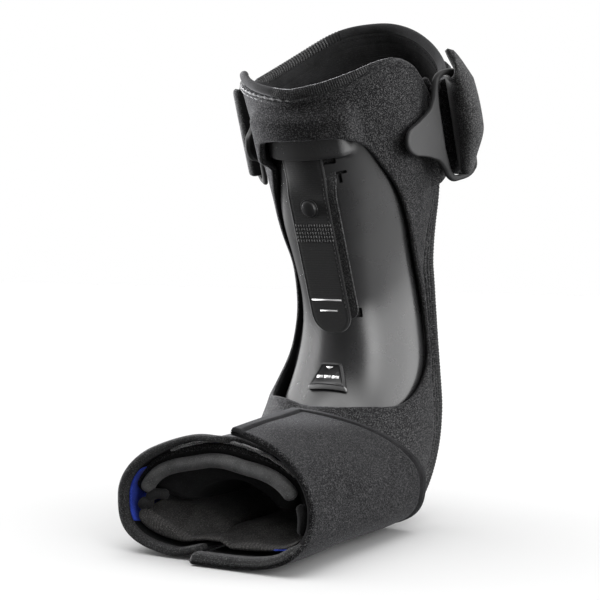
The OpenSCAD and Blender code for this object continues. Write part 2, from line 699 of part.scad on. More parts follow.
// The flap swings about the fold line on the outer face of the right side
function flap_skin(grid, inset) = mapped(grid, function (p) wrap_at(p[0], p[1], flap_top, inset));
module flap_panel(y0, y1_rear, out_inset, in_inset, cols) {
    gap_phi = 0.7;
    grid = [for (s = steps(0, 1, 18)) [for (r = steps(0, 1, cols))
        let (near = y_front + hem_w, far = wrap_rear(mix(fold_phi, 85, s)))
        let (y = y1_rear ? mix(y0, far, r) : mix(y0, near, r))
        [mix(fold_phi + gap_phi, flap_end_phi(y), s), y]]];
    sheet_solid(flap_skin(grid, out_inset), flap_skin(grid, in_inset));
}
module wrap_flap() { color("#262629") flap_panel(y_front + hem_w + hem_gap, true, 0, wrap_t, 8); }
module flap_hem() { color("#1a1a1c") flap_panel(y_front, false, -hem_grow, wrap_t, 2); }
module flap_hook() {
    seat = hook_seat / 2;
    inset = 16;
    hook_len = 60;
    angles = steps(62, 77, 4);
    grid = [for (phi = angles) [for (y = steps(y_front + inset, y_front + inset + hook_len, 6)) [phi, y]]];
    color("#101012")
        sheet_solid(flap_skin(grid, wrap_t + seat), flap_skin(grid, wrap_t + seat + hook_t));
}

// Sole pad lobe: crowned cushion with sides that draw in between its corners, bedded on the wrap's inside
pad_seat = 1.2;
lining_inset = wrap_t + layer_gap + wrap_lining_t;
function wrap_floor(x) =
    let (c = min(1, abs(x) / (wrap_w - lining_inset)))
    wrap_mid - (wrap_mid - lining_inset) * pow(1 - pow(c, sole_power), 1 / sole_power);
pad_half_w = 38.5;
pad_valley = -3;
pad_gap = 1;
pad_short = 14;
module sole_lobe(x0, x1) {
    y0 = y_front + hem_w + pad_gap;
    y1 = y_rear - pad_short;
    draw_in = 0.07;
    edge_t = 2;
    function crown(s) = sqrt(max(0, 1 - s * s * s * s));
    function spot(s, r) = [
        (x0 + x1) / 2 + (x1 - x0) / 2 * s * (1 - draw_in * (1 - r * r)),
        (y0 + y1) / 2 + (y1 - y0) / 2 * r * (1 - draw_in / 2 * (1 - s * s))
    ];
    function bed(s, r) = wrap_floor(spot(s, r)[0]) + pad_seat;
    function rise(s, r) = edge_t + (bed(0, 0) + sole_pad_t - edge_t - bed(s, r)) * crown(s) * crown(r);
    places = [for (s = steps(-1, 1, 12)) sin(90 * s)];
    grid = [for (r = places) [for (s = places) [s, r]]];
    sheet_solid(mapped(grid, function (p) concat(spot(p[0], p[1]), bed(p[0], p[1]) + rise(p[0], p[1]))),
                mapped(grid, function (p) concat(spot(p[0], p[1]), bed(p[0], p[1]))));
}
module sole_pad_left() { color("#2e2a29") sole_lobe(-pad_half_w, pad_valley - pad_gap / 2); }
module sole_pad_right() { color("#2e2a29") sole_lobe(pad_valley + pad_gap / 2, pad_half_w); }

dorsal_shell();
foam_liner();
inner_lining();
front_cover();
cuff_binding();
left_edge_binding();
right_edge_binding();
tongue_binding();
calf_panel();
calf_panel_binding();
calf_strap();
left_strap_turn();
strap_tail();
tail_hook();
left_loop();
right_loop();
left_stud();
right_stud();
left_washer();
right_washer();
tension_strap();
strap_hook();
strap_snap();
hook_base();
limit_plate();
wrap_body();
wrap_hem();
wrap_lining();
wrap_flap();
flap_hem();
flap_hook();
sole_pad_left();
sole_pad_right();
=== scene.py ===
"""Looks of a dorsal ankle splint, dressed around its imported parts. Shapes are worked out in millimetres."""

import logging
import math
from dataclasses import dataclass
from enum import Enum
from typing import Callable, Optional, Sequence, Union

import bmesh
import bpy
import numpy as np
from mathutils import Matrix, Vector


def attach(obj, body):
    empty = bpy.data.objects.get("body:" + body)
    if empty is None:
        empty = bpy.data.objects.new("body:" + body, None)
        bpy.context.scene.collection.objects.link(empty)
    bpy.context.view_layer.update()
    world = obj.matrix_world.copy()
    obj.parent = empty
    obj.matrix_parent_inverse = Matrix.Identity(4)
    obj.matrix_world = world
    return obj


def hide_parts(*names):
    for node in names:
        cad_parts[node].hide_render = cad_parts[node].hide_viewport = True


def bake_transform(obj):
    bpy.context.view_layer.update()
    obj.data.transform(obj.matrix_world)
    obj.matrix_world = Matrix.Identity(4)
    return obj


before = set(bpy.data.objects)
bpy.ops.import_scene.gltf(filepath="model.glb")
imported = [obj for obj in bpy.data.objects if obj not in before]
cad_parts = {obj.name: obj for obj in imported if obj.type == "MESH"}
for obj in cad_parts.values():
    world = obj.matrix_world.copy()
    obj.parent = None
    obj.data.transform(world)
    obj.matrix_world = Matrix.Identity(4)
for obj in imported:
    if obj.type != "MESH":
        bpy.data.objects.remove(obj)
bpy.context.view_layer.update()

LOG = logging.getLogger("splint")
MM = 0.001
WELD = 0.01 * MM
Array = np.ndarray
Colour = tuple[float, float, float, float]
Spot = Callable[[Array, Array, Array], Array]
Profile = Union[float, Callable[[Array], Array]]


class Body(Enum):
    """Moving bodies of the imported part."""

    SPLINT = "splint"
    STRAP = "tension_strap"
    LEFT_LOOP = "left_loop"
    RIGHT_LOOP = "right_loop"
    TAIL = "strap_tail"
    FLAP = "wrap_flap"


class Side(Enum):
    """Side of the leg, as the sign of its x."""

    LEFT = -1.0
    RIGHT = 1.0


def ease(t: Array) -> Array:
    """Smooth step from 0 to 1."""
    c = np.clip(t, 0.0, 1.0)
    return c * c * (3.0 - 2.0 * c)


def mix(a: Array, b: Array, t: Array) -> Array:
    """Straight blend from a to b."""
    return a + (b - a) * t


def unit(p: Array) -> Array:
    """Directions of length 1."""
    return p / np.maximum(np.linalg.norm(p, axis=-1, keepdims=True), 1e-12)


def crowd(t: Array, amount: float = 0.75) -> Array:
    """Moves grid lines towards both edges of a sheet."""
    return (1.0 - amount) * t + amount * (0.5 - 0.5 * np.cos(np.pi * t))


def rounded(edge: Array, radius: Profile) -> Array:
    """Share of the half thickness at a distance from a round edge."""
    k = np.clip(edge / radius, 0.0, 1.0)
    return np.sqrt(np.maximum(0.0, 1.0 - (1.0 - k) ** 2))


def groove(distance: Array, width: float) -> Array:
    """Share of a sewn groove's depth at a distance from its line."""
    return np.exp(-((distance / width) ** 2))


def ripple(p: Array, length: float, phase: float) -> Array:
    """Soft uneven swell of cloth between -1 and 1, from a few crossing waves.

    Args:
        p: Points in millimetres.
        length: Rough length of a swell.
        phase: Shift that makes one piece differ from the next.

    Returns:
        One value for each point.
    """
    k = 2.0 * np.pi / length
    x, y, z = p[..., 0], p[..., 1], p[..., 2]
    waves = np.sin(k * (0.9 * x + 0.5 * y + 0.3 * z) + phase)
    waves = waves + np.sin(k * (0.4 * y - 0.8 * x + 0.7 * z) * 1.31 + 2.1 * phase)
    return (waves + np.sin(k * (0.6 * z + 0.7 * y - 0.2 * x) * 0.77 + 3.7 * phase)) / 3.0


def curve_through(stations: Sequence[Sequence[float]], place: Array) -> Array:
    """Smooth curve through stations.

    Args:
        stations: Rows of a place followed by one or more values.
        place: Places to read the curve at.

    Returns:
        The values at each place, in a last axis of their own.
    """
    table = np.array(stations, float)
    xs, ys = table[:, 0], table[:, 1:]
    count = len(xs)
    before = np.maximum(np.arange(count) - 1, 0)
    after = np.minimum(np.arange(count) + 1, count - 1)
    slope = (ys[after] - ys[before]) / (xs[after] - xs[before])[:, None]
    place = np.asarray(place, float)
    i = np.clip(np.searchsorted(xs, place, side="right") - 1, 0, count - 2)
    h = (xs[i + 1] - xs[i])[..., None]
    t = np.clip((place - xs[i])[..., None] / h, 0.0, 1.0)
    start = ys[i] * (2 * t**3 - 3 * t**2 + 1) + slope[i] * h * (t**3 - 2 * t**2 + t)
    return start + ys[i + 1] * (3 * t**2 - 2 * t**3) + slope[i + 1] * h * (t**3 - t**2)


def evenly(path: Array, count: int) -> Array:
    """Resamples a path into points at equal steps along it.

    Args:
        path: Points of the path.
        count: How many points are wanted.

    Returns:
        The new points.
    """
    steps = np.linalg.norm(np.diff(path, axis=0), axis=1)
    length = np.concatenate([[0.0], np.cumsum(steps)])
    wanted = np.linspace(0.0, length[-1], count)
    return np.stack([np.interp(wanted, length, path[:, a]) for a in range(path.shape[1])], axis=1)


def path_length(path: Array) -> float:
    """Length of a path of points."""
    return float(np.linalg.norm(np.diff(path, axis=0), axis=1).sum())


@dataclass(frozen=True)
class Limb:
    """Surface of the foot, instep and shin that every layer follows, as stations along the dorsal line."""

    sole_len: float = 128.0
    foot_h: float = 50.0
    foot_run: float = 62.0
    tongue_inset: float = 8.0
    instep_r: float = 58.0
    shin_lean: float = 21.0
    shin_run: float = 124.0

    @property
    def v_foot(self) -> float:
        """Station where the instep bend starts."""
        return self.foot_run

    @property
    def v_shin(self) -> float:
        """Station where the straight shin starts."""
        return self.v_foot + self.instep_r * math.radians(90.0 + self.shin_lean)

    @property
    def v_cuff(self) -> float:
        """Station of the front dip of the cuff."""
        return self.v_shin + self.shin_run

    @property
    def v_heel(self) -> float:
        """Station over the back of the foot wrap."""
        return self.v_foot + 50.0

    @property
    def bend_y(self) -> float:
        """Place of the instep bend along the foot."""
        return -self.sole_len / 2 + self.tongue_inset + self.foot_run

    @property
    def v_bend(self) -> float:
        """Station in the middle of the instep bend."""
        return (self.v_foot + self.v_shin) / 2

    @property
    def shin_up(self) -> Array:
        """Direction up the straight shin."""
        return self.shin_point(0.0, 0.0, 1.0) - self.shin_point(0.0, 0.0, 0.0)

    def half_width(self, v: Array) -> Array:
        """Half width of the section at a station."""
        rows = [(0, 42), (self.v_foot, 43), (self.v_bend, 43), (self.v_shin - 16, 36),
                (self.v_shin + 12, 36.5), (self.v_shin + 54, 42), (self.v_cuff, 51), (self.v_cuff + 40, 53)]
        return curve_through(rows, v)[..., 0]

    def front_depth(self, v: Array) -> Array:
        """Depth from the dorsal line to the widest line at a station."""
        rows = [(0, 36), (self.v_foot, 40), (self.v_shin - 16, 52), (self.v_shin + 54, 53),
                (self.v_cuff + 40, 53)]
        return curve_through(rows, v)[..., 0]

    def rear_depth(self, v: Array) -> Array:
        """Depth behind the widest line at a station."""
        rows = [(0, 36), (self.v_foot, 44), (self.v_bend, 58), (self.v_shin + 54, 59.5),
                (self.v_shin + 89, 61), (self.v_cuff + 40, 61)]
        return curve_through(rows, v)[..., 0]

    def line(self, v: Array) -> tuple[Array, Array, Array]:
        """Dorsal line in the middle plane.

        Args:
            v: Station.

        Returns:
            Its y, its z and its turn in radians.
        """
        turn = np.clip((v - self.v_foot) / self.instep_r, 0.0, math.radians(90.0 + self.shin_lean))
        before = np.minimum(0.0, v - self.v_foot)
        after = np.maximum(0.0, v - self.v_shin)
        y = self.bend_y + self.instep_r * np.sin(turn) + before + after * np.cos(turn)
        z = self.foot_h + self.instep_r * (1.0 - np.cos(turn)) + after * np.sin(turn)
        return y, z, turn

    def section(self, v: Array, th: Array, d: Array) -> Array:
        """Point of the section across the limb.

        Args:
            v: Station along the dorsal line.
            th: Angle round from the dorsal line, in degrees, plus to the right.
            d: Distance outwards from the moulded shell's outer face.

        Returns:
            Points of x and depth behind the dorsal line.
        """
        v, th, d = np.broadcast_arrays(np.asarray(v, float), np.asarray(th, float), np.asarray(d, float))
        t = np.radians(th)
        w, f = self.half_width(v), self.front_depth(v)
        b = np.where(np.abs(th) <= 90.0, f, self.rear_depth(v))
        nx, nd = b * np.sin(t), -w * np.cos(t)
        n = np.hypot(nx, nd)
        return np.stack([w * np.sin(t) + d * nx / n, f - b * np.cos(t) + d * nd / n], axis=-1)

    def point(self, v: Array, th: Array, d: Array) -> Array:
        """Point of a layer in space.

        Args:
            v: Station.
            th: Angle, as for section.
            d: Distance outwards, as for section.

        Returns:
            The points.
        """
        s = self.section(v, th, d)
        y, z, turn = self.line(np.broadcast_to(np.asarray(v, float), s.shape[:-1]))
        return np.stack([s[..., 0], y + s[..., 1] * np.sin(turn), z - s[..., 1] * np.cos(turn)], axis=-1)

    def normal(self, v: Array, th: Array) -> Array:
        """Outward direction of the surface."""
        return unit(self.point(v, th, 1.0) - self.point(v, th, 0.0))

    def shin_point(self, x: Array, depth: Array, rise: Array) -> Array:
        """Point in the frame of the straight shin.

        Args:
            x: Place across.
            depth: Distance behind the dorsal line.
            rise: Distance up from the start of the shin.

        Returns:
            The points.
        """
        lean = math.radians(self.shin_lean)
        y0, z0, _ = self.line(np.asarray(self.v_shin))
        x, depth, rise = np.broadcast_arrays(x, depth, rise)
        y = y0 + depth * math.cos(lean) - rise * math.sin(lean)
        return np.stack([x, y, z0 + depth * math.sin(lean) + rise * math.cos(lean)], axis=-1)


LIMB = Limb()


def link(bm: bmesh.types.BMesh, name: str) -> bpy.types.Object:
    """Turns a finished bmesh into a smooth shaded object at the origin.

    Args:
        bm: The mesh, which is freed.
        name: Name of the piece.

    Returns:
        The object.
    """
    mesh = bpy.data.meshes.new(name)
    bm.to_mesh(mesh)
    bm.free()
    mesh.shade_smooth()
    obj = bpy.data.objects.new(name, mesh)
    bpy.context.scene.collection.objects.link(obj)
    return obj


def mapped_grids(name: str, cols: int, rows: int, sides: Sequence[float], spot: Spot,
                 cloth: tuple[float, float] = (1.0, 1.0), paint: Optional[Spot] = None) -> bpy.types.Object:
    """Builds a piece from unit grids whose vertices move to their places on the object.

    Args:
        name: Name of the piece.
        cols: Faces across.
        rows: Faces along.
        sides: One number for each grid, such as -1 for a sheet's inner face and 1 for its outer one.
        spot: Gives the place in millimetres from the share across, the share along and the side.
        cloth: Size of the unrolled sheet in millimetres, for its UV map.
        paint: Gives the number of each face's finish, from the same three values.

    Returns:
        The object, with edges that meet welded and faces pointing outwards.
    """
    bm = bmesh.new()
    uv = bm.loops.layers.uv.new("cloth")
    for side in sides:
        bmesh.ops.create_grid(bm, x_segments=cols, y_segments=rows, size=0.5, calc_uvs=True,
                              matrix=Matrix.Translation((0.0, 0.0, side)))
    flat = np.array([v.co for v in bm.verts])
    places = spot(flat[:, 0] + 0.5, flat[:, 1] + 0.5, flat[:, 2]) * MM
    if paint:
        mids = np.array([face.calc_center_median() for face in bm.faces])
        for face, number in zip(bm.faces, paint(mids[:, 0] + 0.5, mids[:, 1] + 0.5, mids[:, 2])):
            face.material_index = int(number)
    for vert, place in zip(bm.verts, places):
        vert.co = place
    for face in bm.faces:
        for loop in face.loops:
            loop[uv].uv = (loop[uv].uv[0] * cloth[0], loop[uv].uv[1] * cloth[1])
    bmesh.ops.remove_doubles(bm, verts=bm.verts, dist=WELD)
    bmesh.ops.recalc_face_normals(bm, faces=bm.faces)
    return link(bm, name)


def sheet_piece(name: str, cols: int, rows: int, spot: Spot, cloth: tuple[float, float] = (1.0, 1.0),
                paint: Optional[Spot] = None) -> bpy.types.Object:
    """Closed sheet with an inner and an outer face, from the arguments of mapped_grids."""
    return mapped_grids(name, cols, rows, (-1.0, 1.0), spot, cloth, paint)


def roll_piece(name: str, path: Array, facing: Array, thick: Profile, wide: Profile, sides: int = 20,
               swell: Optional[Callable[[Array, Array], Array]] = None, pitch: float = 1.0,
               paint: Optional[Spot] = None) -> bpy.types.Object:
    """Rolled edge or rod along a path, with round ends.

    Args:
        name: Name of the piece.
        path: Points of its middle.
        facing: Direction at each point that thick is measured in.
        thick: Size towards the facing direction, or its change with the share along.
        wide: Size across it, given in the same way.
        sides: Faces round the roll.
        swell: Change of its radius, from the length along it and the angle round it.
        pitch: Length of a face along the roll.
        paint: Gives the number of each face's finish, as for mapped_grids.

    Returns:
        The object.
    """
    length = path_length(path)
    rings = max(8, int(length / pitch))
    both = evenly(np.concatenate([path, facing], axis=1), rings + 1)
    mid, face = both[:, :3], both[:, 3:]
    tangent = unit(np.gradient(mid, axis=0))
    out = unit(face - tangent * (face * tangent).sum(axis=1, keepdims=True))
    across = np.cross(tangent, out)

    def spot(u: Array, w: Array, _: Array) -> Array:
        """Places the roll's grid.

        Args:
            u: Share round the roll.
            w: Share along it.

        Returns:
            The points.
        """
        angle = 2.0 * np.pi * u
        along = length * w
        high = thick(w) if callable(thick) else thick
        broad = wide(w) if callable(wide) else wide
        end = rounded(np.minimum(along, length - along), np.minimum(high, broad) / 2)
        radius = end * (1.0 + (swell(along, angle) if swell else 0.0))
        place = w * rings

        def at(table: Array) -> Array:
            """Value of a table of rings at each place."""
            low = np.clip(place.astype(int), 0, rings - 1)
            return mix(table[low], table[low + 1], (place - low)[:, None])

        lift = at(out) * (high / 2 * np.cos(angle) * radius)[:, None]
        return at(mid) + lift + at(across) * (broad / 2 * np.sin(angle) * radius)[:, None]

    return mapped_grids(name, sides, rings, (0.0,), spot, (10.0, length), paint)


def stitch_row(name: str, path: Array, facing: Array, length: float = 2.2, gap: float = 1.1,
               thread: float = 0.55, lift: float = 0.15) -> bpy.types.Object:
    """Row of sewn stitches along a path.

    Args:
        name: Name of the piece.
        path: Points of the seam on the cloth's face.
        facing: Outward direction at each point.
        length: Length of a stitch.
        gap: Space between stitches.
        thread: Thickness of the thread.
        lift: How far the middle of a stitch stands off the cloth.

    Returns:
        The object.
    """
    count = max(2, int(path_length(path) / (length + gap)))
    both = evenly(np.concatenate([path, facing], axis=1), 2 * count + 1)
    bm = bmesh.new()
    for i in range(count):
        a, b = both[2 * i, :3], both[2 * i + 1, :3]
        out = Vector(unit(both[2 * i, 3:]))
        along = Vector(unit(b - a))
        across = along.cross(out).normalized()
        middle = Vector((a + b) / 2) + out * lift
        turn = Matrix((across, out, along)).transposed().to_4x4()
        size = Matrix.Diagonal((thread / 2, thread / 2, length / 2, 1.0))
        matrix = Matrix.Scale(MM, 4) @ Matrix.Translation(middle) @ turn @ size
        bmesh.ops.create_uvsphere(bm, u_segments=6, v_segments=4, radius=1.0, matrix=matrix)
    return link(bm, name)


def uneven(first: float, second: float) -> Callable[[Array, Array], Array]:
    """Swell of a fuzzy roll, from the length along it and the angle round it."""
    return lambda along, angle: 0.25 * np.sin(along * first) * np.sin(along * second + angle)


class NodeSheet:
    """Adds and joins nodes of one shader tree."""

    def __init__(self, tree: bpy.types.NodeTree) -> None:
        """Keeps the tree that the nodes go to."""
        self.tree = tree

    def feed(self, node: bpy.types.Node, inputs: dict) -> None:
        """Joins sockets to a node's inputs and sets plain values on them.

        Args:
            node: The node.
            inputs: Values or output sockets by input name or number.
        """
        for key, value in inputs.items():
            if isinstance(value, bpy.types.NodeSocket):
                self.tree.links.new(value, node.inputs[key])
            else:
                node.inputs[key].default_value = value

    def add(self, kind: str, inputs: Optional[dict] = None, **settings: object) -> bpy.types.Node:
        """Adds a node.

        Args:
            kind: Blender's name of the node type.
            inputs: Values or output sockets by input name or number.
            settings: Attributes of the node.

        Returns:
            The node.
        """
        node = self.tree.nodes.new(kind)
        for key, value in settings.items():
            setattr(node, key, value)
        self.feed(node, inputs or {})
        return node

    def math(self, operation: str, *values: object) -> bpy.types.NodeSocket:
        """Adds a Math node and gives its result."""
        return self.add("ShaderNodeMath", dict(enumerate(values)), operation=operation).outputs[0]

    def ramp(self, value: object, low: float, high: float, to_low: float = 0.0,
             to_high: float = 1.0) -> bpy.types.NodeSocket:
        """Maps a range of a value to another, clamped and eased."""
        inputs = {0: value, 1: low, 2: high, 3: to_low, 4: to_high}
        return self.add("ShaderNodeMapRange", inputs, interpolation_type="SMOOTHSTEP").outputs[0]

    def blend(self, share: object, a: object, b: object) -> bpy.types.NodeSocket:
        """Mixes two colours."""
        return self.add("ShaderNodeMix", {0: share, 6: a, 7: b}, data_type="RGBA").outputs[2]

    def noise(self, place: object, scale: float, detail: float, **inputs: float) -> bpy.types.NodeSocket:
        """Adds a noise and gives its value."""
        values = {"Vector": place, "Scale": scale, "Detail": detail, **inputs}
        return self.add("ShaderNodeTexNoise", values).outputs[0]

    def bump(self, height: object, strength: float, distance: float) -> bpy.types.NodeSocket:
        """Adds a Bump node, with its distance in millimetres, and gives its normal."""
        values = {"Height": height, "Strength": strength, "Distance": distance * MM}
        return self.add("ShaderNodeBump", values).outputs[0]

    def group(self, tree: bpy.types.NodeTree, inputs: dict) -> bpy.types.Node:
        """Places a shared group."""
        return self.add("ShaderNodeGroup", inputs, node_tree=tree)

    def cloth_map(self) -> bpy.types.NodeSocket:
        """Adds the UV map of the unrolled cloth."""
        return self.add("ShaderNodeUVMap", uv_map="cloth").outputs[0]


class Effects:
    """Shader groups that the finishes share, each built once."""

    def __init__(self) -> None:
        """Builds the groups."""
        self.flecks = self._flecks()
        self.ribs = self._ribs()
        self.skin = self._skin()

    @staticmethod
    def _group(name: str, inputs: Sequence[str], outputs: Sequence[str]) -> tuple[NodeSheet, bpy.types.Node]:
        """Makes an empty group with named sockets.

        Args:
            name: Name of the group.
            inputs: Labels of its inputs, of which Vector is a vector and the others are values.
            outputs: Labels of its outputs, all values.

        Returns:
            The sheet of its tree and the node that gives the inputs.
        """
        tree = bpy.data.node_groups.new(name, "ShaderNodeTree")
        for direction, labels in (("INPUT", inputs), ("OUTPUT", outputs)):
            for label in labels:
                kind = "NodeSocketVector" if label == "Vector" else "NodeSocketFloat"
                tree.interface.new_socket(name=label, in_out=direction, socket_type=kind)
        sheet = NodeSheet(tree)
        return sheet, sheet.add("NodeGroupInput")

    @staticmethod
    def _grained(sheet: NodeSheet, given: bpy.types.Node) -> bpy.types.NodeSocket:
        """Place counted in grains, from a group's Vector in metres and its Grain in millimetres."""
        scale = sheet.math("DIVIDE", 1.0 / MM, given.outputs["Grain"])
        values = {0: given.outputs["Vector"], "Scale": scale}
        return sheet.add("ShaderNodeVectorMath", values, operation="SCALE").outputs[0]

    def _flecks(self) -> bpy.types.NodeTree:
        """Light fibre ends, soft blotches and nap of a brushed cloth, with a grain in millimetres.

        Returns:
            The group.
        """
        sheet, given = self._group("cloth_flecks", ("Vector", "Grain", "Share"), ("Fleck", "Blotch", "Nap"))
        place = self._grained(sheet, given)
        fine = sheet.noise(place, 1.0, 2.0, Roughness=0.65)
        fibre = sheet.noise(place, 2.3, 1.0, Roughness=0.5)
        patch = sheet.noise(place, 0.06, 3.0, Roughness=0.6)
        nap = sheet.math("MULTIPLY_ADD", fibre, 0.45, sheet.math("MULTIPLY", fine, 0.55))
        start = sheet.math("SUBTRACT", 0.62, sheet.math("MULTIPLY", given.outputs["Share"], 0.3))
        fleck = sheet.ramp(nap, start, sheet.math("ADD", start, 0.15))
        blotch = sheet.ramp(patch, 0.32, 0.68)
        sheet.add("NodeGroupOutput", {"Fleck": fleck, "Blotch": blotch, "Nap": nap})
        return sheet.tree

    def _ribs(self) -> bpy.types.NodeTree:
        """Ribs of a knit or webbing along and across its own UV map, with pitches in millimetres.

        Returns:
            The group.
        """
        sheet, given = self._group("thread_ribs", ("Vector", "Along", "Across"), ("Rib", "Weave"))
        parts = sheet.add("ShaderNodeSeparateXYZ", {0: given.outputs["Vector"]}).outputs

        def wave(value: bpy.types.NodeSocket, pitch: bpy.types.NodeSocket) -> bpy.types.NodeSocket:
            """Wave between 0 and 1 of a pitch."""
            turns = sheet.math("MULTIPLY", sheet.math("DIVIDE", value, pitch), 2.0 * math.pi)
            return sheet.math("MULTIPLY_ADD", sheet.math("SINE", turns), 0.5, 0.5)

        rib = wave(parts[1], given.outputs["Along"])
        weave = sheet.math("MULTIPLY", rib, wave(parts[0], given.outputs["Across"]))
        sheet.add("NodeGroupOutput", {"Rib": rib, "Weave": weave})
        return sheet.tree

    def _skin(self) -> bpy.types.NodeTree:
        """Fine spark texture, haze and faint handling marks of a moulded part.

        Returns:
            The group.
        """
        sheet, given = self._group("moulded_skin", ("Vector", "Grain"), ("Height", "Haze", "Scuff"))
        spark = sheet.noise(self._grained(sheet, given), 1.0, 2.0)
        haze = sheet.ramp(sheet.noise(given.outputs["Vector"], 38.0, 4.0), 0.3, 0.7)
        marks = sheet.noise(given.outputs["Vector"], 210.0, 6.0, Distortion=1.5)
        scuff = sheet.ramp(marks, 0.66, 0.74)
        sheet.add("NodeGroupOutput", {"Height": spark, "Haze": haze, "Scuff": scuff})
        return sheet.tree


@dataclass(frozen=True)
class Finish:
    """Common part of every finish."""

    name: str
    base: Colour

    def start(self) -> tuple[bpy.types.Material, NodeSheet, bpy.types.Node, bpy.types.NodeSocket]:
        """Makes an empty material with its shader.

        Returns:
            The material, its node sheet, the shader and the Object coordinates.
        """
        material = bpy.data.materials.new(self.name)
        material.use_nodes = True
        material.node_tree.nodes.clear()
        material.diffuse_color = self.base
        sheet = NodeSheet(material.node_tree)
        shader = sheet.add("ShaderNodeBsdfPrincipled", {"Base Color": self.base})
        sheet.add("ShaderNodeOutputMaterial", {0: shader.outputs[0]})
        return material, sheet, shader, sheet.add("ShaderNodeTexCoord").outputs["Object"]

    def shaded(self, share: float) -> Colour:
        """Base colour darkened to a share, for darker blotches and for painted shade in rib grooves."""
        return tuple(c * share for c in self.base[:3]) + (1.0,)


@dataclass(frozen=True)
class Nap(Finish):
    """Brushed cloth: dark ground, light fibre ends, fine nap and sheen."""

    fleck: Colour
    share: float = 0.3
    grain: float = 0.9
    depth: float = 0.5
    sheen: float = 0.5
    rib_pitch: float = 0.0
    rib_depth: float = 0.0

    def material(self, effects: Effects) -> bpy.types.Material:
        """Builds the material.

        Args:
            effects: The shared groups.

        Returns:
            The material.
        """
        material, sheet, shader, place = self.start()
        cloth = sheet.group(effects.flecks, {"Vector": place, "Grain": self.grain, "Share": self.share})
        # Darker tone for the random blotches, and painted shade for the rib grooves.
        blotch_and_groove_shade = self.shaded(0.62)
        ground = sheet.blend(cloth.outputs["Blotch"], blotch_and_groove_shade, self.base)
        colour = sheet.blend(cloth.outputs["Fleck"], ground, self.fleck)
        height = cloth.outputs["Nap"]
        if self.rib_pitch:
            pitch = {"Along": self.rib_pitch, "Across": self.rib_pitch}
            rib = sheet.group(effects.ribs, {"Vector": sheet.cloth_map(), **pitch}).outputs["Rib"]
            height = sheet.math("MULTIPLY_ADD", rib, self.rib_depth, height)
            # Rib grooves are darkened here: painted shade in the grooves.
            colour = sheet.blend(sheet.ramp(rib, 0.0, 0.5, 0.45, 1.0), blotch_and_groove_shade, colour)
        sheet.feed(shader, {
            "Base Color": colour, "Normal": sheet.bump(height, self.depth, 0.5), "Roughness": 0.95,
            "Specular IOR Level": 0.15, "Sheen Weight": self.sheen, "Sheen Roughness": 0.45,
            "Sheen Tint": (0.8, 0.8, 0.84, 1.0)})
        return material


@dataclass(frozen=True)
class Woven(Finish):
    """Webbing or knit with ribs that follow its own map."""

    fleck: Colour
    along: float = 1.2
    across: float = 1.2
    depth: float = 0.5
    roughness: float = 0.75
    sheen: float = 0.2

    def material(self, effects: Effects) -> bpy.types.Material:
        """Builds the material.

        Args:
            effects: The shared groups.

        Returns:
            The material.
        """
        material, sheet, shader, place = self.start()
        pitch = {"Along": self.along, "Across": self.across}
        ribs = sheet.group(effects.ribs, {"Vector": sheet.cloth_map(), **pitch}).outputs
        cloth = sheet.group(effects.flecks, {"Vector": place, "Grain": 0.6, "Share": 0.25}).outputs
        # Darker between the ribs: painted shade in the grooves.
        ground = sheet.blend(ribs["Rib"], self.shaded(0.7), self.base)
        colour = sheet.blend(sheet.math("MULTIPLY", cloth["Fleck"], ribs["Rib"]), ground, self.fleck)
        threads = sheet.math("ADD", ribs["Rib"], sheet.math("MULTIPLY", ribs["Weave"], 0.5))
        height = sheet.math("MULTIPLY_ADD", cloth["Nap"], 0.35, threads)
        sheet.feed(shader, {
            "Base Color": colour, "Normal": sheet.bump(height, self.depth, 0.4), "Roughness": self.roughness,
            "Specular IOR Level": 0.25, "Sheen Weight": self.sheen})
        return material


@dataclass(frozen=True)
class Moulded(Finish):
    """Moulded plastic or metal with a fine skin."""

    gloss: float = 0.3
    dull: float = 0.42
    grain: float = 0.35
    depth: float = 0.05
    metallic: float = 0.0
    coat: float = 0.0
    shine: float = 0.5
    scuff: Colour = (0.12, 0.12, 0.125, 1.0)

    def material(self, effects: Effects) -> bpy.types.Material:
        """Builds the material.

        Args:
            effects: The shared groups.

        Returns:
            The material.
        """
        material, sheet, shader, place = self.start()
        skin = sheet.group(effects.skin, {"Vector": place, "Grain": self.grain}).outputs
        rough = sheet.ramp(skin["Haze"], 0.0, 1.0, self.gloss, self.dull)
        colour = sheet.blend(sheet.math("MULTIPLY", skin["Scuff"], 0.25), self.base, self.scuff)
        sheet.feed(shader, {
            "Base Color": colour, "Roughness": rough, "Normal": sheet.bump(skin["Height"], self.depth, 0.2),
            "Metallic": self.metallic, "Specular IOR Level": self.shine, "Coat Weight": self.coat,
            "Coat Roughness": 0.25})
        return material


def grey(value: float, warm: float = 0.0) -> Colour:
    """Grey of a given linear value, a little warm where asked."""
    return (value * (1.0 + warm), value, value * (1.0 - warm) + 0.0006, 1.0)


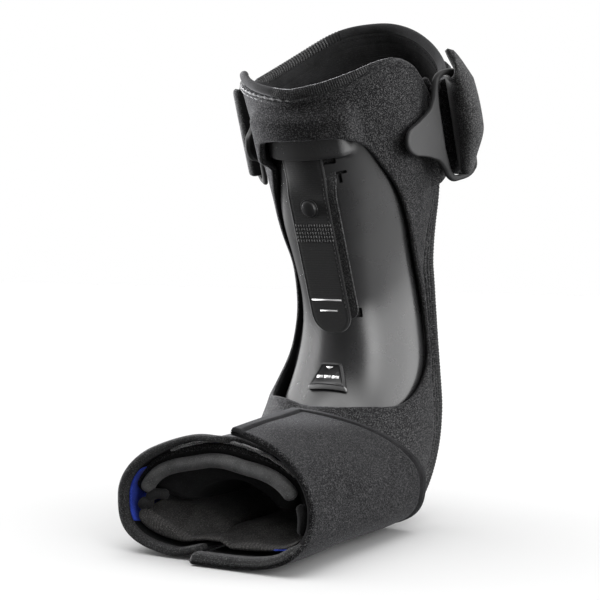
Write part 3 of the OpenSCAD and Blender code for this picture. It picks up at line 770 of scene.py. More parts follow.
class Cloth:
    """All finishes of the splint, as materials by name."""

    def __init__(self) -> None:
        """Builds every material."""
        effects = Effects()
        makers = [
            Nap("velour", grey(0.0068), grey(0.074), share=0.45, grain=0.75, depth=0.8, sheen=0.1),
            Nap("wrap_velour", grey(0.0036), grey(0.07), share=0.4, grain=0.75, depth=0.8, sheen=0.08),
            Nap("strap_velour", grey(0.022), grey(0.11), share=0.45, grain=0.7, depth=0.5, sheen=0.08),
            Nap("lining_knit", grey(0.014), grey(0.03), share=0.25, grain=0.7, depth=0.35, sheen=0.02),
            Nap("cuff_lining", grey(0.023), grey(0.05), share=0.3, grain=0.6, depth=0.4, sheen=0.02,
                rib_pitch=1.3, rib_depth=0.5),
            Nap("pad_knit", grey(0.04, 0.03), grey(0.1, 0.03), share=0.4, grain=0.6, depth=0.45, sheen=0.05),
            Nap("pad_rib", grey(0.05, 0.03), grey(0.14, 0.03), share=0.45, grain=0.6, depth=0.6, sheen=0.05,
                rib_pitch=1.4, rib_depth=1.0),
            Nap("toe_roll", grey(0.1), grey(0.19), share=0.3, grain=0.6, depth=0.3, sheen=0.1),
            Nap("overlock", grey(0.04), grey(0.16), share=0.45, grain=0.6, depth=0.7, sheen=0.05,
                rib_pitch=2.0, rib_depth=1.4),
            Nap("blue_lining", (0.03, 0.06, 0.44, 1.0), (0.06, 0.1, 0.6, 1.0), share=0.3, grain=0.7,
                depth=0.4, sheen=0.2),
            # Light fuzz: its light grey is a painted highlight for fuzzy rims that catch the light.
            Nap("fuzz", grey(0.07), grey(0.26), share=0.5, grain=0.6, depth=0.8, sheen=0.5),
            # Brighter fuzz: a painted highlight for the tongue's fuzzy rim, which lies in shade under the
            # flap.
            Nap("bright_fuzz_painted_highlight", grey(0.14), grey(0.55), share=0.5, grain=0.6, depth=0.8, sheen=0.5),
            Nap("smooth_roll", grey(0.022), grey(0.05), share=0.25, grain=0.6, depth=0.25, sheen=0.1),
            Nap("ribbed_roll", grey(0.02), grey(0.09), share=0.4, grain=0.6, depth=0.6, sheen=0.05,
                rib_pitch=1.3, rib_depth=1.2),
            Nap("foam", grey(0.05), grey(0.1), share=0.3, grain=1.2, depth=0.6, sheen=0.0),
            Woven("webbing", grey(0.0135), grey(0.04), along=1.1, across=0.9, depth=0.2, roughness=0.7),
            Nap("hook_tape", grey(0.012), grey(0.07), share=0.3, grain=1.3, depth=1.0, sheen=0.0),
            Nap("hem_knit", grey(0.034), grey(0.13), share=0.4, grain=0.7, depth=0.5, sheen=0.05,
                rib_pitch=1.2, rib_depth=0.6),
            Nap("band_knit", grey(0.011), grey(0.03), share=0.3, grain=0.6, depth=0.3, sheen=0.05),
            Woven("thread", grey(0.1), grey(0.25), along=0.5, across=0.5, depth=0.4, roughness=0.6),
            Woven("thread_dark", grey(0.035), grey(0.09), along=0.5, across=0.5, depth=0.4, roughness=0.6),
            Moulded("shell", grey(0.018), gloss=0.24, dull=0.32, grain=0.3, depth=0.03, coat=0.6, shine=1.0,
                    scuff=grey(0.04)),
            Moulded("loop_plastic", grey(0.03), gloss=0.36, dull=0.46, grain=0.25, depth=0.16),
            Moulded("snap", grey(0.014), gloss=0.22, dull=0.32, depth=0.03, coat=0.3),
            Moulded("plate", grey(0.008), gloss=0.16, dull=0.26, depth=0.03, coat=0.5),
            # Light grey for the plate's lower bevel: a painted highlight.
            Moulded("plate_edge", grey(0.16), gloss=0.25, dull=0.4, depth=0.05, coat=0.3),
            Moulded("steel", grey(0.42), gloss=0.28, dull=0.4, depth=0.08, metallic=1.0),
            Moulded("print_white", grey(0.55), gloss=0.5, dull=0.65, depth=0.3, scuff=grey(0.3)),
        ]
        self.materials = {maker.name: maker.material(effects) for maker in makers}

    def wear(self, obj: bpy.types.Object, finish: str, slot: str, *nodes: str) -> None:
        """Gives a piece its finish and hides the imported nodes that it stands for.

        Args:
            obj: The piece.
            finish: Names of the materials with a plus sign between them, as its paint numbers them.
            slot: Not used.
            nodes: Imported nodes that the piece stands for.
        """
        for name in finish.split("+"):
            obj.data.materials.append(self.materials[name])
        if nodes:
            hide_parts(*nodes)

    def dress(self, obj: bpy.types.Object, finish: str, body: Body, slot: str, *nodes: str) -> None:
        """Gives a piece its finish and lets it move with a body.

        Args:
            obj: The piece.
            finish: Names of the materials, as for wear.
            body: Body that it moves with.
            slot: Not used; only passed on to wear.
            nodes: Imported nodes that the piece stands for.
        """
        self.wear(obj, finish, slot, *nodes)
        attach(obj, body.value)
        LOG.info("%s: %d faces on %s", obj.name, len(obj.data.polygons), body.value)

    def paint_node(self, node: str, finish: str) -> None:
        """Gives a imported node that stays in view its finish.

        Args:
            node: Name of the node.
            finish: Name of the material.
        """
        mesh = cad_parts[node].data
        mesh.materials.clear()
        mesh.materials.append(self.materials[finish])


@dataclass
class Shell:
    """Moulded shell with the slot and the hood for the tension strap, its foam and its lining."""

    cloth: Cloth
    shell_t: float = 2.5
    layer_gap: float = 0.6
    foam_t: float = 6.0
    lining_t: float = 1.2
    slot_w: float = 33.0
    hood_room: float = 2.9
    hood_len: float = 22.0
    hood_ramp: float = 8.0
    slot_up: float = 80.0
    strap_lean: float = 16.624
    lip_up: float = 3.0
    strap_drop: float = 4.0
    strap_gap: float = 0.4
    strap_half: float = 0.9
    slot_drop: float = 0.9
    slot_open: float = 11.0
    slot_half: float = 3.8

    @property
    def lining_d(self) -> float:
        """Offset of the middle of the lining behind the foam."""
        return -(self.shell_t + 2 * self.layer_gap + self.foam_t + self.lining_t / 2)

    @property
    def slot_v(self) -> float:
        """Station of the strap slot."""
        return LIMB.v_shin + self.slot_up

    def hood(self, v: Array, th: Array, grow: float = 0.0, front: float = 2.8) -> Array:
        """Rise of the hood over the strap end.

        Args:
            v: Station.
            th: Angle.
            grow: How much wider the hood is taken, for a layer over it.
            front: Length of the ramp at the slot.

        Returns:
            The rise in millimetres.
        """
        x = np.abs(LIMB.half_width(v) * np.sin(np.radians(th)))
        half = self.slot_w / 2 + 3.0 + grow
        start = self.slot_v + self.lip_up - front / 2 - grow
        rise = (self.shell_t + self.hood_room + grow / 4) * ease((v - start) / front)
        rise = rise * ease((self.slot_v + self.hood_len + self.hood_ramp + grow - v) / self.hood_ramp)
        return rise * ease((half + self.hood_ramp - x) / self.hood_ramp)

    @staticmethod
    def left_swell(v: Array, th: Array) -> Array:
        """How far the shell's left side swells out below the slot."""
        reach = ease((v - LIMB.v_shin + 75.0) / 25.0) * ease((LIMB.v_shin + 70.0 - v) / 40.0)
        return 3.4 * ease((-th - 22.0) / 36.0) * reach

    def on_strap(self, x: Array, y: Array, z: Array) -> Array:
        """Point in the frame of the tension strap.

        Args:
            x: Place across.
            y: Distance up from the slot.
            z: Distance off the shell.

        Returns:
            The points.
        """
        lean = math.radians(self.strap_lean)
        start = np.asarray(self.slot_v - self.strap_drop)
        top = LIMB.point(start, np.asarray(0.0), np.asarray(self.strap_gap + self.strap_half))
        x, y, z = np.broadcast_arrays(x, y, z)
        return np.stack([x, top[1] - y * math.sin(lean) - z * math.cos(lean),
                         top[2] + y * math.cos(lean) - z * math.sin(lean)], axis=-1)

    def layer(self, name: str, rows: Sequence[tuple[float, float]], middle: float, thick: float,
              radius: float, cols: int, count: int, lift: Spot) -> bpy.types.Object:
        """Layer of the limb with round edges.

        Args:
            name: Name of the piece.
            rows: Stations with the widest angle there.
            middle: Offset of the layer's middle.
            thick: Thickness.
            radius: Radius of its edges.
            cols: Faces round.
            count: Faces along.
            lift: Change of the offset, from station, angle and share of the widest angle.

        Returns:
            The object.
        """
        low, high = rows[0][0], rows[-1][0]

        def spot(u: Array, w: Array, side: Array) -> Array:
            """Places the layer's grid."""
            v = mix(low, high, crowd(w, 0.5))
            reach = curve_through(rows, v)[..., 0]
            share = 2.0 * crowd(u, 0.5) - 1.0
            th = share * reach
            edge = np.minimum((1.0 - np.abs(share)) * reach * 0.85, np.minimum(v - low, high - v))
            d = middle + side * thick / 2 * rounded(edge, radius)
            return LIMB.point(v, th, d + lift(v, th, share))

        return sheet_piece(name, cols, count, spot, (90.0, high - low))

    @staticmethod
    def box(centre: Array, turn: Matrix, size: tuple[float, float, float]) -> bpy.types.Object:
        """Box with round edges.

        Args:
            centre: Its middle.
            turn: Its turn.
            size: Its size in millimetres.

        Returns:
            The object.
        """
        bm = bmesh.new()
        bmesh.ops.create_cube(bm, size=1.0, matrix=Matrix.Diagonal((*size, 1.0)))
        bmesh.ops.bevel(bm, geom=bm.edges[:], offset=0.45, affect="EDGES", segments=3, profile=0.5,
                        material=-1)
        place = Matrix.Scale(MM, 4) @ Matrix.Translation(Vector(centre)) @ turn
        bmesh.ops.transform(bm, matrix=place, verts=bm.verts)
        return link(bm, "shell_cutter")

    def slot_spot(self, u: Array, w: Array, side: Array) -> Array:
        """Places the slab that opens the hood for the strap and follows the shell's curve.

        Args:
            u: Share across.
            w: Share up.
            side: 1 outside and -1 inside.

        Returns:
            The points.
        """
        v = self.slot_v - self.slot_drop + self.slot_open * w
        x = self.slot_w * (u - 0.5)
        edge = np.minimum(np.minimum(u, 1.0 - u) * self.slot_w, np.minimum(w, 1.0 - w) * self.slot_open)
        d = 0.2 + side * self.slot_half * rounded(edge, 0.8)
        return LIMB.point(v, np.degrees(np.arcsin(x / LIMB.half_width(v))), d)

    def cut(self, obj: bpy.types.Object, cutters: Sequence[bpy.types.Object]) -> None:
        """Cuts other pieces out of a piece and removes them.

        Args:
            obj: The piece.
            cutters: The pieces that are cut out of it.
        """
        for cutter in cutters:
            change = obj.modifiers.new("cut", "BOOLEAN")
            change.operation = "DIFFERENCE"
            change.solver = "EXACT"
            change.object = cutter
        shaped = bpy.data.meshes.new_from_object(obj.evaluated_get(bpy.context.evaluated_depsgraph_get()))
        obj.modifiers.clear()
        obj.data = shaped
        obj.data.set_sharp_from_angle(angle=math.radians(35.0))
        for cutter in cutters:
            bpy.data.objects.remove(cutter)

    def build(self) -> None:
        """Builds the shell and the foam."""
        v = LIMB.v_shin
        top = LIMB.v_cuff - 8.0
        shell_rows = [(8, 46), (LIMB.v_foot, 52), (LIMB.v_heel + 10, 62), (v - 40, 75), (v - 28, 82),
                      (v, 79), (v + 30, 75), (v + 56, 72), (v + 68, 84), (v + 97, 85), (top - 6, 74),
                      (top, 56)]
        shell = self.layer("moulded_shell", shell_rows, -self.shell_t / 2, self.shell_t, 1.1, 130, 220,
                           lambda v, th, share: self.hood(v, th) + self.left_swell(v, th))
        shin_turn = Matrix.Rotation(math.radians(LIMB.shin_lean), 4, "X")
        slot = sheet_piece("shell_cutter", 40, 16, self.slot_spot)
        bar = self.box(LIMB.point(self.slot_v - 6.4, 22.0, 0.0), shin_turn, (8.0, 14.0, 1.8))
        stem = self.box(LIMB.point(self.slot_v - 9.4, 22.5, 0.0), shin_turn, (2.0, 14.0, 6.0))
        notch = self.box(LIMB.point(v - 9.4, 20.5, 0.0), Matrix.Identity(4), (6.4, 14.0, 5.4))
        self.cut(shell, [slot, bar, stem, notch])
        self.cloth.dress(shell, "shell", Body.SPLINT, "shell", "dorsal_shell")

        edge_rows = [(16, 46), (LIMB.v_foot, 46), (LIMB.v_heel, 52), (v - 20, 64), (v + 40, 64),
                     (LIMB.v_cuff - 6, 62)]
        foam_out = -self.shell_t - self.layer_gap
        foam = self.layer("foam_pad", edge_rows, foam_out - self.foam_t / 2, self.foam_t, 2.8, 60, 110,
                          lambda v, th, share: np.zeros_like(v))
        self.cloth.dress(foam, "foam", Body.SPLINT, "foam", "foam_liner")


@dataclass
class Cover:
    """Padded velour cover round the window, its bound edges and the lining behind it."""

    cloth: Cloth
    shell: Shell
    cover_in: float = 0.6
    cover_t: float = 4.0
    binding_d: float = 5.0
    binding_gap: float = 0.3
    tongue_swell: float = 1.6
    tongue_reach: float = 14.0
    tongue_t: float = 7.4
    tongue_w: float = 8.6
    tongue_th: float = 62.0
    seam_depth: float = 1.5
    window_pull: float = 18.0

    @property
    def middle(self) -> float:
        """Offset of the middle of the cover."""
        return self.cover_in + self.cover_t / 2

    @property
    def rim(self) -> float:
        """Station of the cover's edge at the front of the cuff."""
        return LIMB.v_cuff - self.binding_d - self.binding_gap

    def pairs(self) -> list[tuple[float, ...]]:
        """Points of the window and the outline points that they face, each as station and angle.

        Returns:
            Rows of a number and four values, from the front of the cuff down one side to the tongue.
        """
        v, slot, heel, rim = LIMB.v_shin, self.shell.slot_v, LIMB.v_heel, self.rim
        faces = [
            (slot + 16.5, 0, rim, 0), (slot + 15, 24, rim + 3, 40), (slot + 8, 38, rim + 1, 66),
            (v + 71, 51, rim - 13, 90), (v + 55, 61, v + 81, 110), (v + 35, 68, v + 47, 104),
            (v + 15, 71.5, v + 24, 93.5), (v - 3, 74, v + 1, 86), (v - 19, 77, v - 19, 84),
            (v - 31, 77.5, v - 34, 86.5), (v - 42, 69, v - 47, 94), (v - 53, 54, heel - 8.5, 105),
            (heel + 1.6, 33, heel - 18, 82), (heel - 3.6, 16, LIMB.v_foot * 0.4, 75), (heel - 5, 7, 0, 68),
            (heel - 5.3, 5, 0, 46), (heel - 5.5, 2.5, 0, 23), (heel - 5.5, 0, 0, 0)]
        return [(float(k), *face) for k, face in enumerate(faces)]

    def facing(self, k: Array) -> tuple[Array, Array, Array, Array]:
        """Window station and angle and outline station and angle at a place down the side."""
        values = np.maximum(curve_through(self.pairs(), k), 0.0)
        return values[..., 0], values[..., 1], values[..., 2], values[..., 3]

    def place_of(self, v: Array) -> Array:
        """Place down the side of a station of the outline."""
        rows = self.pairs()[13:2:-1]
        return np.interp(v, [row[3] for row in rows], [row[0] for row in rows])

    @staticmethod
    def stand_off(k: Array, hand: Array) -> Array:
        """How far the soft sides stand off the shell, most at the left ankle.

        Args:
            k: Place down the side.
            hand: Minus on the left.

        Returns:
            The distance.
        """
        rows = [(0, 0), (4, 0), (5.5, 4.4), (6.5, 5.4), (7.5, 7.6), (8.5, 9.6), (9.5, 10.4),
                (10.4, 9.0), (11, 7.9), (12, 6.6), (13.2, 1.0), (14.2, 0), (17, 0)]
        left = curve_through(rows, k)[..., 0]
        right = 0.4 * ease((k - 4.0) / 2.0) * ease((13.2 - k) / 1.8)
        return np.where(hand < 0, left, right)

    @staticmethod
    def lobe_rise(k: Array, hand: Array) -> Array:
        """How far the cover runs up past the roll on the right of the cuff."""
        rise = 5.0 * ease((k - 0.4) / 1.1) + 4.5 * groove(k - 2.0, 0.75)
        return np.where(hand > 0, rise * ease((3.5 - k) / 1.1), 0.0)

    def edge_path(self, k: Array, offset: Optional[Array] = None) -> tuple[Array, Array]:
        """Middle of a binding just outside the outline.

        Args:
            k: Places down the side, minus on the left, rising from left to right over the cuff.
            offset: Distance outside the outline, if it differs from that of a full binding.

        Returns:
            The points and the outward directions there.
        """
        _, _, v, th = self.facing(np.abs(k))
        v = v + self.lobe_rise(np.abs(k), k)
        spot = LIMB.point(v, np.sign(k) * th, self.middle + self.stand_off(np.abs(k), k))
        normal = LIMB.normal(v, np.sign(k) * th)
        tangent = unit(np.gradient(spot, axis=0))
        if offset is None:
            offset = np.full_like(k, self.binding_d / 2 + self.binding_gap)
        return spot + unit(np.cross(normal, tangent)) * offset[:, None], normal

    @staticmethod
    def tongue_spread(th: Array) -> Array:
        """How far the tongue's edge rises and spreads towards the sides of the wrap."""
        return 2.5 + 7.0 * ease((np.abs(th) - 14.0) / 48.0)

    def cover_spot(self, u: Array, w: Array, side: Array) -> Array:
        """Places the cover's grid.

        Args:
            u: Share round the window.
            w: Share from the window to the outline.
            side: 1 outside and -1 inside.

        Returns:
            The points.
        """
        last = len(self.pairs()) - 1
        turn = 2.0 * last * u
        k = last - np.abs(turn - last)
        hand = np.where(turn <= last, 1.0, -1.0)
        v0, th0, v1, th1 = self.facing(k)
        v1 = v1 + self.lobe_rise(k, hand)
        th0 = th0 - np.where(hand < 0, self.window_pull * groove(k - 3.2, 1.8), 0.0)
        share = crowd(w, 0.6)
        v = mix(v0, v1, share)
        th = hand * mix(th0, th1, share)
        reach = LIMB.point(v0, th0, self.middle) - LIMB.point(v1, th1, self.middle)
        across = np.linalg.norm(reach, axis=-1)
        from_window = share * across
        from_edge = (1.0 - share) * across
        tongue = ease((self.tongue_reach - v) / self.tongue_reach)
        half = self.cover_t / 2 + 0.75 * self.tongue_swell * tongue
        out = side * half * rounded(np.minimum(from_window, from_edge), 2.2)
        lift = (self.tongue_swell + self.tongue_spread(th)) * tongue
        lift = lift + self.shell.hood(v, th, grow=4.0, front=8.0) + self.stand_off(k, hand)
        outer = side > 0
        seams = groove(from_edge - np.minimum(4.2, 0.3 * across), 0.75)
        seams = seams + groove(from_edge - np.minimum(8.4, 0.62 * across), 0.75)
        seams = seams * ease(k - 4.2) * ease((12.5 - k) / 1.5)
        welt = 0.8 * groove(from_edge - 2.0, 1.5) * ease(3.4 - k)
        place = LIMB.point(v, th, 0.0)
        puff = 0.45 * ripple(place, 46.0, 0.6) * ease(np.minimum(from_window, from_edge) / 7.0)
        lift = lift + np.where(outer, puff + welt - self.seam_depth * seams, 0.0)
        return LIMB.point(v, th, self.middle + out + lift)

    def lining_spot(self, u: Array, w: Array, side: Array) -> Array:
        """Places the lining's grid, whose edges come out to the bindings.

        Args:
            u: Share across.
            w: Share along.
            side: 1 outside and -1 inside.

        Returns:
            The points.
        """
        v_shin = LIMB.v_shin
        rows = [(2.0, 62), (LIMB.v_foot * 0.4, 70), (LIMB.v_heel - 18, 78), (LIMB.v_heel - 3, 98),
                (v_shin - 47, 90), (v_shin - 34, 83.5), (v_shin - 19, 81.5), (v_shin + 1, 83.5),
                (v_shin + 24, 91), (v_shin + 47, 101), (v_shin + 76, 105), (self.rim - 13, 92),
                (self.rim, 78)]
        v = mix(rows[0][0], rows[-1][0], w)
        share = 2.0 * crowd(u, 0.5) - 1.0
        reach = curve_through(rows, v)[..., 0]
        th = share * reach
        side_edge = (1.0 - np.abs(share)) * reach * 0.88
        end_edge = np.minimum(v - rows[0][0], rows[-1][0] - v)
        closing = 1.0 - rounded(np.minimum(side_edge, end_edge), 12.0)
        spread = self.tongue_spread(th) * ease((self.tongue_reach - v) / self.tongue_reach)
        loose = self.stand_off(self.place_of(v), share) * ease((8.0 - side_edge) / 8.0)
        d = mix(self.shell.lining_d, self.cover_in - 1.0, closing) + spread + loose
        half = self.shell.lining_t / 2 * rounded(np.minimum(side_edge, end_edge), 0.8)
        place = LIMB.point(v, th, 0.0)
        return LIMB.point(v, th, d + side * half + 0.35 * ripple(place, 30.0, 2.2))

    def cuff_edge(self) -> None:
        """Builds the cuff's front edge: a fat smooth roll on the left that thins into a ribbed facing."""
        along = np.linspace(-1.72, 1.9, 90)
        flat = ease((along + 0.5) / 0.7)
        thin = ease((along - 0.5) / 1.4)
        wide = mix(self.binding_d, 6.6, flat) - 4.9 * thin
        thick = mix(self.binding_d, 3.2, flat) - 1.5 * thin
        offset = mix(self.binding_d / 2 + self.binding_gap, wide / 2 - 1.3, flat)
        path, out = self.edge_path(along, offset)
        curl = 2.2 * ease((-0.4 - along) / 1.3)
        path = path + curl[:, None] * LIMB.shin_up + (0.5 * flat - 0.35 * curl)[:, None] * out
        length = np.concatenate([[0.0], np.cumsum(np.linalg.norm(np.diff(path, axis=0), axis=1))])
        share = length / length[-1]

        def paint(u: Array, w: Array, side: Array) -> Array:
            """0 on the smooth roll, 1 on the ribbed facing, 2 on the velour and 3 on the top line, a light
            fuzz stripe that is a painted highlight.
            """
            k = np.interp(w, share, along)
            kind = np.where(k < -0.3, 0, np.where(k < 1.2, 1, 2))
            # The top line gets the light fuzz as a painted highlight.
            return np.where((k > -0.3) & (np.abs(u - 0.75) < 0.06), 3, kind)

        cuff = roll_piece("cuff_roll", path, out, lambda w: np.interp(w, share, thick),
                          lambda w: np.interp(w, share, wide), 24, pitch=0.4, paint=paint)
        self.cloth.dress(cuff, "smooth_roll+ribbed_roll+velour+fuzz", Body.SPLINT, "binding", "cuff_binding")
        rim_k = np.linspace(-1.75, 0.35, 50)
        _, _, v, th = self.facing(np.abs(rim_k))
        rim = LIMB.point(v - 1.8, np.sign(rim_k) * th, self.cover_in + self.cover_t - 0.3)
        # Fuzzy rim on the cuff's velour edge; its light colour is a painted highlight.
        fuzz = roll_piece("cuff_velour_rim", rim, LIMB.normal(v, np.sign(rim_k) * th), 1.5,
                          lambda w: 0.4 + 2.6 * ease((1.0 - w) / 0.35), 10, pitch=0.5,
                          swell=uneven(2.9, 1.7))
        self.cloth.dress(fuzz, "fuzz", Body.SPLINT, "velour")

    def build(self) -> None:
        """Builds the cover, the lining and the bindings."""
        cover = sheet_piece("velour_cover", 420, 40, self.cover_spot, (900.0, 40.0),
                            lambda u, w, side: np.where(side < 0, 1, 0))
        self.cloth.dress(cover, "velour+lining_knit", Body.SPLINT, "velour", "front_cover")
        lining = sheet_piece("skin_lining", 90, 150, self.lining_spot, (150.0, 290.0))
        self.cloth.dress(lining, "lining_knit", Body.SPLINT, "lining", "inner_lining")
        self.cuff_edge()
        for side, node in ((Side.LEFT, "left_edge_binding"), (Side.RIGHT, "right_edge_binding")):
            reach = np.linspace(3.0, 11.0, 120)
            path, out = self.edge_path(reach if side is Side.RIGHT else -reach[::-1])
            upper = (0.0, 0.3) if side is Side.RIGHT else (0.7, 1.0)
            edge = roll_piece(f"{node}_roll", path, out, self.binding_d - 0.4, self.binding_d, 18, pitch=0.5,
                              swell=lambda along, angle: 0.06 * np.sin(np.pi * along),
                              paint=lambda u, w, face: np.where((w > upper[0]) & (w < upper[1]), 1, 0))
            self.cloth.dress(edge, "ribbed_roll+velour", Body.SPLINT, "binding", node)
        angles = np.linspace(-self.tongue_th - 5.0, self.tongue_th, 80)
        middle = -self.tongue_t / 2 + 2.0 + self.tongue_spread(angles)
        tongue = roll_piece("tongue_roll", LIMB.point(-1.5, angles, middle), LIMB.normal(0.0, angles),
                            self.tongue_t, self.tongue_w, 28, pitch=1.0,
                            swell=lambda along, angle: 0.04 * np.sin(along / 6.0) * np.cos(angle))
        self.cloth.dress(tongue, "toe_roll", Body.SPLINT, "binding", "tongue_binding")
        angles = np.linspace(-36.0, 52.0, 70)
        rim = LIMB.point(0.2, angles, 10.8 + 0.55 * (self.tongue_spread(angles) - 2.5))
        # Fuzzy rim of the tongue's velour; its bright colour is a painted highlight in the shade under the
        # flap.
        fuzz = roll_piece("tongue_velour_rim", rim, LIMB.normal(0.0, angles), 1.8,
                          lambda w: 0.5 + 2.4 * ease(np.minimum(w, 1.0 - w) / 0.2), 10, pitch=0.5,
                          swell=uneven(2.7, 1.9))
        self.cloth.dress(fuzz, "bright_fuzz_painted_highlight", Body.SPLINT, "velour")


@dataclass(frozen=True)
class LobeFrame:
    """Frame of a strap loop on the cuff: backwards along the lobe, up the shin and out of the lobe."""

    loop_up: float = 83.0
    lobe_th: float = 76.0
    cover_out: float = 4.6
    stand: float = 3.8
    bar_x: float = 70.0
    bar_reach: float = 21.5

    @property
    def v(self) -> float:
        """Station of the loops."""
        return LIMB.v_shin + self.loop_up

    @property
    def middle(self) -> Array:
        """Back of the lobe over the pivot, across and behind the dorsal line."""
        return LIMB.section(self.v, self.lobe_th, self.cover_out + self.stand)

    @property
    def turn(self) -> float:
        """Angle of the lobe's outward direction."""
        n = self.middle - LIMB.section(self.v, self.lobe_th, self.cover_out)
        return math.atan2(-n[1], n[0])

    @property
    def bar(self) -> Array:
        """Middle of the outer bar, across and behind the dorsal line."""
        return np.array([self.bar_x, self.middle[1] + self.bar_reach])

    @property
    def bar_place(self) -> tuple[float, float]:
        """Middle of the outer bar, back along the lobe and out of it."""
        reach = self.bar - self.middle
        sine, cosine = math.sin(self.turn), math.cos(self.turn)
        return reach[0] * sine + reach[1] * cosine, reach[0] * cosine - reach[1] * sine

    def point(self, back: Array, up: Array, out: Array, side: Side) -> Array:
        """Point in the frame of a loop.

        Args:
            back: Distance back along the lobe.
            up: Distance up the shin.
            out: Distance out of the lobe.
            side: Side of the leg.

        Returns:
            The points.
        """
        sine, cosine = math.sin(self.turn), math.cos(self.turn)
        x = self.middle[0] + back * sine + out * cosine
        depth = self.middle[1] + back * cosine - out * sine
        return LIMB.shin_point(side.value * x, depth, self.loop_up + up)


@dataclass
class Loops:
    """Two moulded strap loops: a flat lobe on the pivot that bends out to a round bar behind the slot."""

    cloth: Cloth
    lobe: LobeFrame
    loop_t: float = 3.2
    bar_d: float = 6.0
    bend: float = 7.0
    bend_soft: float = 4.0
    edge_r: float = 1.5

    def bent(self, back: Array) -> Array:
        """Length past the bend, which starts softly."""
        return self.bend_soft * np.log1p(np.exp((back - self.bend - 1.5) / self.bend_soft))

    def outline(self) -> list[tuple[float, ...]]:
        """Points of the slot and the outer points that they face, each as back along the lobe and up.

        Returns:
            Rows of a number and four values round the loop, with a row past each end.
        """
        bar, _ = self.lobe.bar_place
        near, far = bar - self.bar_d / 2, bar + self.bar_d / 2
        upper = [
            (13, 2, -14.4, 3.6), (13, 5, -11, 6.5), (13, 9, -2.7, 8.4), (13, 12.5, 5.5, 11.5),
            (13.2, 17, 9.3, 17), (13.7, 22, 11, 23.2), (14.2, 25.2, 12.2, 28), (15.2, 27.6, 14.9, 31.2),
            (17.2, 28.8, 18.2, 32.2), (20, 28.5, 22.8, 31.6), (near, 26.4, 26.2, 28.8),
            (near, 23, far, 23.5)]
        lower = [
            (near, -23, far, -23.5), (near, -26.4, 26.2, -28.8), (20, -28.5, 22.8, -31.6),
            (17.2, -28.8, 18.4, -32.2), (15.4, -27.6, 14.4, -31.8), (14.4, -25.2, 11.7, -28.4),
            (13.9, -22, 10, -22.6), (13.4, -17, 7.2, -17.4), (13, -12.5, 1, -13.4), (13, -9, -4.5, -11),
            (13, -6, -10.5, -8.6), (13, -3.5, -14.4, -5)]
        ring = [(13, -1, -15.8, -0.8), *upper, (near, 0, far, 0), *lower]
        rows = [ring[-1], *ring, ring[0], ring[1]]
        return [(float(k - 1), *row) for k, row in enumerate(rows)]

    def build(self) -> None:
        """Builds both loops and finishes the studs and washers."""
        rows = self.outline()
        count = len(rows) - 3
        bar, bar_out = self.lobe.bar_place
        slope = (bar_out - self.loop_t / 2) / (bar - self.bend)
        for side, body in ((Side.LEFT, Body.LEFT_LOOP), (Side.RIGHT, Body.RIGHT_LOOP)):

            def spot(u: Array, w: Array, face: Array, side: Side = side) -> Array:
                """Places the loop's grid."""
                values = curve_through(rows, u * count)
                share = crowd(w, 0.9)
                back = mix(values[..., 0], values[..., 2], share)
                up = mix(values[..., 1], values[..., 3], share)
                across = np.hypot(values[..., 2] - values[..., 0], values[..., 3] - values[..., 1])
                edge = np.minimum(share, 1.0 - share) * across
                round_bar = ease((back - bar + 7.0) / 3.5) * ease((27.5 - np.abs(up)) / 3.0)
                half = mix(self.loop_t / 2, self.bar_d / 2, round_bar)
                bent = self.bent(back) * (bar - self.bend) / self.bent(bar)
                radius = mix(self.edge_r, self.bar_d / 2, round_bar)
                out = self.loop_t / 2 + slope * bent + face * half * rounded(edge, radius)
                return self.lobe.point(back, up, out, side)

            loop = sheet_piece(f"{body.value}_moulding", 260, 26, spot)
            self.cloth.dress(loop, "loop_plastic", body, "loop_plastic", body.value)
        for node in ("left_stud", "right_stud", "left_washer", "right_washer"):
            self.cloth.paint_node(node, "steel")


